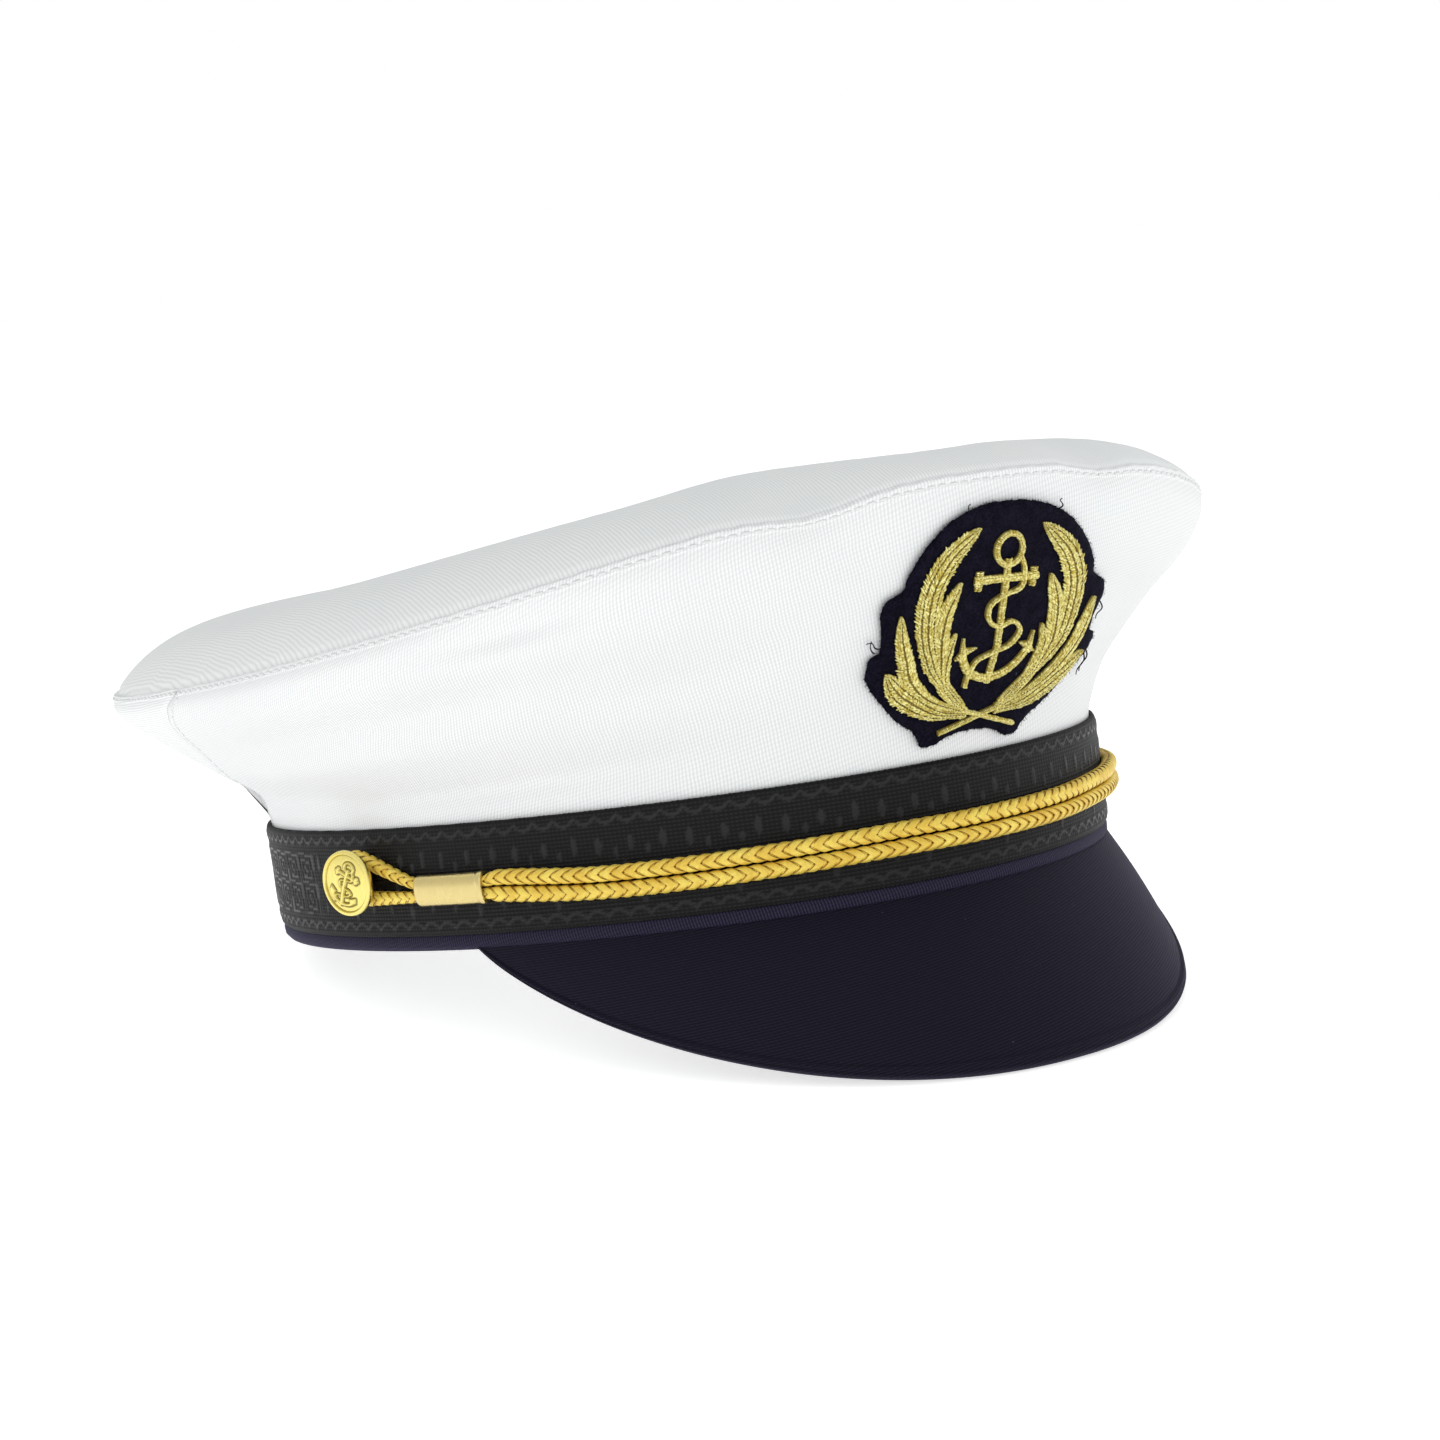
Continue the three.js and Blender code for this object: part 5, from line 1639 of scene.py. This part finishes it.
half_edge = np.array(PATCH_OUTLINE) * BADGE_SIZE
whole_edge = np.concatenate([half_edge, half_edge[-2:0:-1] * [-1, 1]])
patch_edge, edge_along, _ = through(whole_edge, EDGE_POINTS, loop=True)
edge_out = np.stack([-edge_along[:, 1], edge_along[:, 0]], -1)
patch_edge = patch_edge + edge_out * ragged(EDGE_POINTS, 0.16)[:, None]
patch_middle = np.array([0, BADGE_HEIGHT / 2])


# %% Napped cloth


def napped_cloth():
    cloth = Finish("patch_napped_cloth", (0.006, 0.0055, 0.016), 0.95)
    place = cloth.place()
    fine = cloth.noise(place, 0.00045, 3.0)
    soft = cloth.noise(place, 0.003, 3.0)
    lint = cloth.between(cloth.noise(place, 0.0013, 3.0), 0.76, 0.82)
    shown = cloth.between(cloth.add(fine, cloth.times(soft, 0.6)), 0.55, 1.15)
    ground = cloth.mix(shown, (0.0022, 0.0019, 0.0055), (0.010, 0.009, 0.019))
    cloth.colour(cloth.mix(lint, ground, (0.11, 0.11, 0.14)))
    cloth.bump(cloth.add(fine, soft), 0.25 * MM, 0.8)
    cloth.shader.inputs["Sheen Weight"].default_value = 0.03
    cloth.shader.inputs["Sheen Tint"].default_value = (0.4, 0.38, 0.7, 1)
    cloth.shader.inputs["Specular IOR Level"].default_value = 0.06
    return cloth.material


NAPPED_CLOTH = napped_cloth()

# %% Make the patch
FACE_RINGS = np.concatenate([np.linspace(0.02, 0.94, 26), [0.965, 0.985, 0.996]])
UNDER_RINGS = np.array([0.985, 0.9, 0.5, 0.02])


def patch_rings(shares):
    """Rings of the flat patch, in shares of the way from its middle to its edge."""
    return patch_middle + (patch_edge - patch_middle)[:, None] * shares[None, :, None]


def patch_piece():
    face = patch_rings(FACE_RINGS)
    round_edge = PATCH_WALL * 0.45 * smoothstep(FACE_RINGS, 0.93, 1.0) ** 2
    nap = 0.05 * np.sin(face[..., 0] * 2.1 + 1.3 * np.sin(face[..., 1])) * np.sin(face[..., 1] * 1.7)
    top, _ = on_badge(face[..., 0], face[..., 1], BADGE_FACE + nap - round_edge)
    rim, _ = on_badge(patch_edge[:, None, 0], patch_edge[:, None, 1], BADGE_FACE - PATCH_WALL * 0.62)
    under = patch_rings(UNDER_RINGS)
    back, _ = on_badge(under[..., 0], under[..., 1], BADGE_FACE - PATCH_WALL)
    sections = np.concatenate([top, rim, back], 1)
    points, faces, _ = sweep(sections, True, None, closed=False)
    first = np.arange(EDGE_POINTS) * sections.shape[1]
    points, middle = end_cap(points, first, True)
    points, behind = end_cap(points, first + sections.shape[1] - 1, False)
    faces = np.concatenate([faces, middle, behind])
    return outward(finish_mesh("badge_patch", to_row(points), faces, NAPPED_CLOTH))


badge_patch = patch_piece()
print("Patch:", len(badge_patch.data.polygons), "faces")

# %% Fray its edge
FIBRE_WIDTH = 0.07
FIBRE_ROOT = 0.25
THREAD_FACES = 18


def fringe(count):
    """Short fibres that stand out from the cut edge."""
    pick = chance.integers(0, EDGE_POINTS, count)
    lean = chance.normal(0, 0.75, count)
    length = chance.gamma(2.2, 0.10, count).clip(0.1, 0.8)
    direction = unit(edge_out[pick] + edge_along[pick] * lean[:, None])
    root = patch_edge[pick] - edge_out[pick] * FIBRE_ROOT
    tip = root + direction * (length + FIBRE_ROOT)[:, None]
    low = BADGE_FACE - PATCH_WALL * chance.uniform(0.15, 0.9, count)
    start, normal = on_badge(root[:, 0], root[:, 1], low)
    end, _ = on_badge(tip[:, 0], tip[:, 1], low + chance.normal(0, 0.12, count))
    return lay_threads("badge_fringe", start, end, normal, FIBRE_WIDTH, FIBRE_WIDTH, NAPPED_CLOTH)


badge_fringe = fringe(1700)
print("Fringe:", len(badge_fringe.data.polygons) // THREAD_FACES, "fibres")

# %% Lay the threads that escaped
STRAY_STEPS = 20
# each a way of places, in shares like those of the outline
STRAY_THREADS = (
    ((-0.93, 0.455), (-0.97, 0.468), (-0.99, 0.485), (-1.03, 0.482)),
    ((-0.96, 0.440), (-0.99, 0.455), (-1.00, 0.470), (-0.99, 0.490)),
    ((-0.33, 0.965), (-0.34, 0.980), (-0.33, 0.992), (-0.31, 0.996)),
    ((0.40, 0.955), (0.42, 0.970), (0.41, 0.985), (0.43, 0.992)),
    ((0.97, 0.340), (1.00, 0.310), (0.99, 0.270), (1.01, 0.235)),
    ((0.95, 0.330), (0.98, 0.290), (0.97, 0.250), (0.98, 0.220)),
    ((0.93, 0.560), (0.97, 0.530), (0.96, 0.500), (0.97, 0.475)),
)


def stray_threads():
    parts = []
    for way in STRAY_THREADS:
        flat, _, _ = through(np.array(way) * BADGE_SIZE, STRAY_STEPS)
        lift = BADGE_FACE - 0.5 + 0.35 * np.sin(np.linspace(0, 5, STRAY_STEPS))
        line, normal = on_badge(flat[:, 0], flat[:, 1], lift)
        ahead = unit(np.gradient(line, axis=0))
        thin = np.linspace(0.17, 0.10, STRAY_STEPS)
        sections, lay = tube(line, np.cross(ahead, normal), normal, thin, thin, 6, loop=False)
        parts.append(capped(sections, lay))
    points, faces, uv = joined_parts(parts)
    return finish_mesh("badge_stray_threads", to_row(points), faces, NAPPED_CLOTH, uv)


badge_strays = stray_threads()
print("Stray threads:", len(STRAY_THREADS))

# %% [markdown]
# ## Embroidery
# The leaves, stems and anchor are worked in fine gold wire over padding, which looks granular and has
# a saw-toothed edge, with a thin dark line along each leaf: near-black threads laid in the gaps between
# rows of grains, painted shade. Here the padding is a low form under a row of short slanted grains, laid
# on both sides of each line by the thread tree.

# %% Gold thread and its padding


def gold_thread():
    gold = Finish("gold_embroidery_thread", (0.8, 0.66, 0.25), 0.36, metallic=0.5)
    tone = gold.attribute("tone")
    place = gold.place()
    grain = gold.noise(place, 0.00035, 2.0)
    shown = gold.between(gold.add(tone, gold.times(grain, 0.5)), 0.3, 1.2)
    bright = gold.mix(shown, (0.58, 0.45, 0.06), (1.0, 0.94, 0.42))
    # painted shade: grains with the tone of the dark lines are near-black
    gold.colour(gold.mix(gold.between(tone, -1.5, -0.5), (0.05, 0.035, 0.006), bright))
    gold.roughness(gold.between(grain, 0.3, 0.7, 0.26, 0.46))
    gold.bump(grain, 0.05 * MM, 0.6)
    return gold.material


GOLD_THREAD = gold_thread()
PADDING = Finish("gold_padding", (0.34, 0.25, 0.04), 0.6, metallic=0.2).material

# %% Collect the grains of one embroidered piece
GRAIN_WIDTH = 0.40
GRAIN_PITCH = 0.36
GRAIN_SCATTER = 0.03
VEIN_SHADE_TONE = -2.0
VEIN_WIDTH = 0.24
VEIN_LIFT = 0.04
EMBROIDERY_RISE = 1.1
# where each row of grains starts and ends, in shares of the line's half width
FULL_ROWS = ((0.10, 0.42), (0.38, 0.72), (0.66, 1.04))
LINED_ROWS = ((0.08, 0.30), (0.27, 0.50), (0.60, 0.82), (0.78, 1.05))
THIN_ROWS = ((-0.15, 0.5), (0.42, 1.02))
PADDING_PLACES = (-1.0, -0.85, -0.5, 0, 0.5, 0.85, 1.0)


class Work:
    """Collects the grains and the padding of one embroidered piece."""

    def __init__(self):
        self.start, self.end, self.parts, self.veins = [], [], [], []

    def grains(self, start, end):
        self.start.append(start.reshape(-1, 3))
        self.end.append(end.reshape(-1, 3))

    def line(self, way, width, rows, slant, rise, veins=False, pitch=GRAIN_PITCH):
        """Grains across a line. width is its half width along it, and rows the parts of that width."""
        _, _, length = through(way, 60)
        count = max(int(length / pitch), 4)
        flat, ahead, _ = through(way, count)
        share = np.linspace(0, 1, count)
        half = np.broadcast_to(width(share) if callable(width) else width, (count,))
        side_way = np.stack([-ahead[:, 1], ahead[:, 0]], -1)

        def dome(place):
            flatter = 0.96 * np.clip(np.abs(place), 0, 1)
            return rise * np.sqrt(np.clip(1 - flatter**2, 0.02, 1))

        # dark lines in the gaps between the rows of grains, painted shade
        if veins:
            for place in (-0.55, 0, 0.55) if rows is LINED_ROWS else (0,):
                line = flat + side_way * (place * half)[:, None]
                laid = np.column_stack([line, np.full(count, dome(place) + VEIN_LIFT)])
                self.veins.append(np.stack([laid[3:-3:2], laid[4:-2:2]]))
        for side in (1, -1):
            for near, far in rows:
                reach_near = near + chance.normal(0, 0.04, count)
                reach_far = far + chance.normal(0, 0.06 if far < 0.95 else 0.09, count)
                drawn = slant * (far - near) * half
                start = flat + side_way * (side * reach_near * half)[:, None]
                end = flat + side_way * (side * reach_far * half)[:, None] - ahead * drawn[:, None]
                low = dome(near) + chance.normal(0, GRAIN_SCATTER, count)
                high = dome(far) + chance.normal(0, GRAIN_SCATTER, count)
                self.grains(np.column_stack([start, low]), np.column_stack([end, high]))
        padding = []
        for place in PADDING_PLACES:
            level = dome(place) - 0.12 if abs(place) < 1 else 0.0
            line = flat + side_way * (place * 0.93 * half)[:, None]
            padding.append(np.column_stack([line, np.full(count, level)]))
        padding += [row * [1, 1, 0] - [0, 0, 0.25] for row in (padding[5], padding[1])]
        self.parts.append(np.stack(padding, 1))

    def make(self, name, origin):
        """Lays the grains and the padding over the crown. origin is the place of (0, 0) on the badge."""

        def lay(rows):
            x, y, lift = np.moveaxis(rows, -1, 0)
            return on_badge(x + origin[0], y + origin[1], BADGE_FACE + 0.1 + lift)

        veins = np.concatenate(self.veins, 1) if self.veins else np.zeros((2, 0, 3))
        start, out = lay(np.concatenate([*self.start, veins[0]]))
        end, _ = lay(np.concatenate([*self.end, veins[1]]))
        tones = chance.beta(2.0, 2.0, len(start))
        width = chance.normal(GRAIN_WIDTH, 0.05, len(start)).clip(0.25, 0.6)
        tones[len(start) - veins.shape[1]:] = VEIN_SHADE_TONE
        width[len(start) - veins.shape[1]:] = VEIN_WIDTH
        laid = lay_threads(name, start, end, out, width, width * 0.85, GOLD_THREAD, tones)
        solids = [capped(lay(part)[0], np.zeros((*part.shape[:2], 2))) for part in self.parts]
        points, faces, _ = joined_parts(solids)
        pad = finish_mesh(name + "_padding", to_row(points), faces, PADDING)
        return laid, welded(pad, 0.001 * MM)


# %% Work the wreath
# the leaf's way from tip to foot, its full width as a share of the badge's half width, and its rows
LEAVES_OF_BRANCH = (
    (((0.26, 0.907), (0.50, 0.780), (0.60, 0.620), (0.52, 0.380), (0.16, 0.155)), 0.185, LINED_ROWS),
    (((0.37, 0.696), (0.46, 0.560), (0.46, 0.400), (0.34, 0.240), (0.15, 0.152)), 0.140, FULL_ROWS),
    (((0.36, 0.482), (0.40, 0.380), (0.35, 0.270), (0.25, 0.185), (0.12, 0.145)), 0.085, FULL_ROWS),
    (((0.81, 0.589), (0.77, 0.470), (0.67, 0.330), (0.46, 0.215), (0.16, 0.142)), 0.120, FULL_ROWS),
    (((0.85, 0.349), (0.71, 0.265), (0.52, 0.190), (0.34, 0.142), (0.12, 0.126)), 0.140, LINED_ROWS),
)
STEM_WAY = ((0.16, 0.145), (0.04, 0.124), (-0.12, 0.094), (-0.30, 0.062))
STEM_WIDTH = 0.032


def leaf_half_width(full):
    """The half width along a leaf: pointed at its tip, widest past the middle, narrow at its foot."""

    def width(share):
        swell = np.sin(math.pi * np.clip(share, 0, 1) ** 0.68) ** 0.95
        return full / 2 * BADGE_HALF_WIDTH * np.maximum(swell, np.where(share < 0.5, 0.02, 0.36))

    return width


def wreath():
    work = Work()
    for side in (1, -1):
        turned = BADGE_SIZE * [side, 1]
        for way, full, rows in LEAVES_OF_BRANCH:
            leaf = np.array(way) * turned
            work.line(leaf, leaf_half_width(full), rows, 0.85, EMBROIDERY_RISE * 0.8, veins=True)
        stem = np.array(STEM_WAY) * turned
        work.line(stem, STEM_WIDTH / 2 * BADGE_HALF_WIDTH, THIN_ROWS, 0.5, EMBROIDERY_RISE)
    return work.make("badge_wreath_thread", (0, 0))


wreath_thread, wreath_padding = wreath()
print("Wreath:", len(wreath_thread.data.polygons) // THREAD_FACES, "grains")

# %% [markdown]
# ## The badge's anchor
# The anchor on the badge is worked in the same way along the strokes of its drawing, and the flukes are
# short lines that fan out. The rope is laid last, so it goes over the shank.

# %% Make the anchor
ANCHOR_HEIGHT = 34.5
ANCHOR_LIFT = 11.0
ROPE_WIDTH = 0.025
BARB_WIDTH = 0.060
# in shares of the anchor's height, from the arm's end outwards
BARB_WAYS = (
    ((0.240, 0.215), (0.256, 0.335)),
    ((0.240, 0.245), (0.160, 0.268)),
    ((0.240, 0.235), (0.290, 0.210)),
)


def pointed(share):
    """The half width along a barb, which narrows to a point."""
    return BARB_WIDTH / 2 * ANCHOR_HEIGHT * (1.05 - share)


def anchor():
    work = Work()
    for _, line, width in ANCHOR_STROKES:
        half = width / 2 * ANCHOR_HEIGHT
        work.line(line * ANCHOR_HEIGHT, half, THIN_ROWS, 0.35, EMBROIDERY_RISE * 0.75)
    for side in (1, -1):
        for way in BARB_WAYS:
            barb = np.array(way) * ANCHOR_HEIGHT * [side, 1]
            work.line(barb, pointed, THIN_ROWS, 0.5, 0.8, pitch=0.34)
    rope, _, _ = through(ROPE_WAY, 40)
    half = ROPE_WIDTH / 2 * ANCHOR_HEIGHT
    work.line(rope * ANCHOR_HEIGHT, half, THIN_ROWS, 1.2, EMBROIDERY_RISE, pitch=0.32)
    return work.make("badge_anchor_thread", (0, ANCHOR_LIFT))


anchor_thread, anchor_padding = anchor()
print("Anchor:", len(anchor_thread.data.polygons) // THREAD_FACES, "grains")

# %% [markdown]
# ## Each piece stands for its solid
# The hat has no moving parts, so everything rides on its one body. Each cloth, cord or brass piece
# hides the solid it stands for.

# %% Attach each piece to the body and hide its solid
DRESSED = (
    ("base_band", "navy_twill", [base_band]),
    ("ribbon", "black_ribbon", [ribbon]),
    ("crown_front", "white_twill", [crown_front, top_stitches]),
    ("crown_back", "white_twill", [crown_back, *rear_stitches]),
    ("crown_top", "white_twill", [crown_top]),
    ("peak", "navy_twill", [peak]),
    ("cord", "gold_braid", [cord, core]),
    ("sleeve_right", "brass", [sleeve_right]),
    ("sleeve_left", "brass", [sleeve_left]),
    ("button_right", "brass", [button_right]),
    ("button_left", "brass", [button_left]),
    ("badge_backing", "patch_cloth", [badge_patch, badge_fringe, badge_strays]),
    ("badge_wreath", "gold_thread", [wreath_thread, wreath_padding]),
    ("badge_anchor", "gold_thread", [anchor_thread, anchor_padding]),
)
for node, slot, pieces in DRESSED:
    for piece in pieces:
        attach(piece, BODY)
    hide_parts(node)
print("Dressed", len(DRESSED), "solids with", sum(len(pieces) for _, _, pieces in DRESSED), "pieces")

# %% [markdown]
# ## Table, light and camera
# The photograph is a cut-out on white: the table and the background are one bright field. So the
# camera sees a plain white sky and a pale floor that glows a little. The cloth is lit by another sky,
# bright low down and dimmer above, which turns the top of the crown a little grey. Two weak soft
# lights, in front on both sides, give the brass and the gold their highlights.

# %% Floor
FLOOR_HALF = 6.0
FLOOR_GLOW = 0.63


def floor_piece():
    corners = [(x * FLOOR_HALF, y * FLOOR_HALF, cad_low.z) for x, y in ((-1, -1), (1, -1), (1, 1), (-1, 1))]
    material = Finish("white_table", (0.85, 0.85, 0.85), 0.9).material
    shader = material.node_tree.nodes["Principled BSDF"]
    shader.inputs["Emission Color"].default_value = (1, 1, 1, 1)
    shader.inputs["Emission Strength"].default_value = FLOOR_GLOW
    shader.inputs["Specular IOR Level"].default_value = 0.1
    return finish_mesh("table", corners, [(0, 1, 2, 3)], material, smooth=False)


table = floor_piece()

# %% Sky
SKY_STRENGTH = 0.79
# height of the sky as the ramp reads it, and its colour there
SKY_TONES = ((0.2, (1, 1, 1, 1)), (0.75, (0.83, 0.855, 0.855, 1)))


def sky():
    """A white background for the camera, and a graded one for everything that it lights."""
    world = bpy.data.worlds.new("studio")
    bpy.context.scene.world = world
    world.use_nodes = True
    nodes, links = world.node_tree.nodes, world.node_tree.links
    place = nodes.new("ShaderNodeTexCoord")
    seen = nodes.new("ShaderNodeLightPath")
    plain = nodes.new("ShaderNodeBackground")
    either = nodes.new("ShaderNodeMixShader")
    split = nodes.new("ShaderNodeSeparateXYZ")
    ramp = nodes.new("ShaderNodeValToRGB")
    links.new(place.outputs["Generated"], split.inputs[0])
    links.new(split.outputs[2], ramp.inputs[0])
    links.new(ramp.outputs[0], nodes["Background"].inputs["Color"])
    for stop, (position, colour) in zip(ramp.color_ramp.elements, SKY_TONES):
        stop.position, stop.color = position, colour
    links.new(seen.outputs["Is Camera Ray"], either.inputs[0])
    links.new(nodes["Background"].outputs[0], either.inputs[1])
    links.new(plain.outputs[0], either.inputs[2])
    links.new(either.outputs[0], nodes["World Output"].inputs["Surface"])
    nodes["Background"].inputs["Strength"].default_value = SKY_STRENGTH
    plain.inputs["Color"].default_value = (1, 1, 1, 1)


sky()

# %% Soft lights


def soft_light(name, place, size, power):
    light = bpy.data.lights.new(name, "AREA")
    light.shape = "RECTANGLE"
    light.size, light.size_y = size
    light.energy = power
    lamp = bpy.data.objects.new(name, light)
    lamp.location = place
    lamp.rotation_euler = (LIT_PLACE - Vector(place)).to_track_quat("-Z", "Y").to_euler()
    bpy.context.collection.objects.link(lamp)


LIT_PLACE = Vector((0, 0, 0.05))
soft_light("key", (-1.0, -0.9, 0.75), (0.7, 0.7), 1.5)
soft_light("side", (1.2, -0.5, 0.4), (0.5, 0.8), 1.4)

# %% [markdown]
# ## Camera
# The camera stands to the hat's right front, a little above the table, two thirds of a metre away. Its
# angles are given in the upright frame of the hat and then leaned back with it.

# %% Set the camera
CAMERA_TURN = math.radians(31.758)
CAMERA_RISE = math.radians(6.445)
CAMERA_ROLL = math.radians(-8.421)
CAMERA_DISTANCE = 650
LENS = 70.88
SENSOR = 36
SHIFT = (0.0139, 0.108)


def camera_axes():
    flat = math.cos(CAMERA_RISE)
    back = np.array((-flat * math.sin(CAMERA_TURN), -flat * math.cos(CAMERA_TURN), math.sin(CAMERA_RISE)))
    right = unit(np.cross(-back, (0, 0, 1)))
    up = np.cross(right, -back)
    c, s = math.cos(CAMERA_ROLL), math.sin(CAMERA_ROLL)
    return np.stack([right * c + up * s, -right * s + up * c, back]) @ LEAN_MATRIX.T


lens = bpy.data.cameras.new("camera")
lens.lens = LENS
lens.sensor_width = SENSOR
lens.shift_x, lens.shift_y = SHIFT
lens.clip_start = 0.01
axes = camera_axes()
camera = bpy.data.objects.new("camera", lens)
turn = Matrix(axes.T.tolist()).to_4x4()
camera.matrix_world = Matrix.Translation(to_row((0, 0, 0)) + axes[2] * CAMERA_DISTANCE * MM) @ turn
bpy.context.collection.objects.link(camera)
scene = bpy.context.scene
scene.camera = camera
scene.view_settings.view_transform = "Standard"
print("The camera looks from", [round(float(value), 3) for value in camera.matrix_world.translation])

# %% [markdown]
# ## Size of the solids
# The dressed hat may stand a little proud of its solids. The box of the solids is printed once more.

# %% Print the solids' box
print("Solids", [round(side / MM, 1) for side in cad_high - cad_low], "mm")
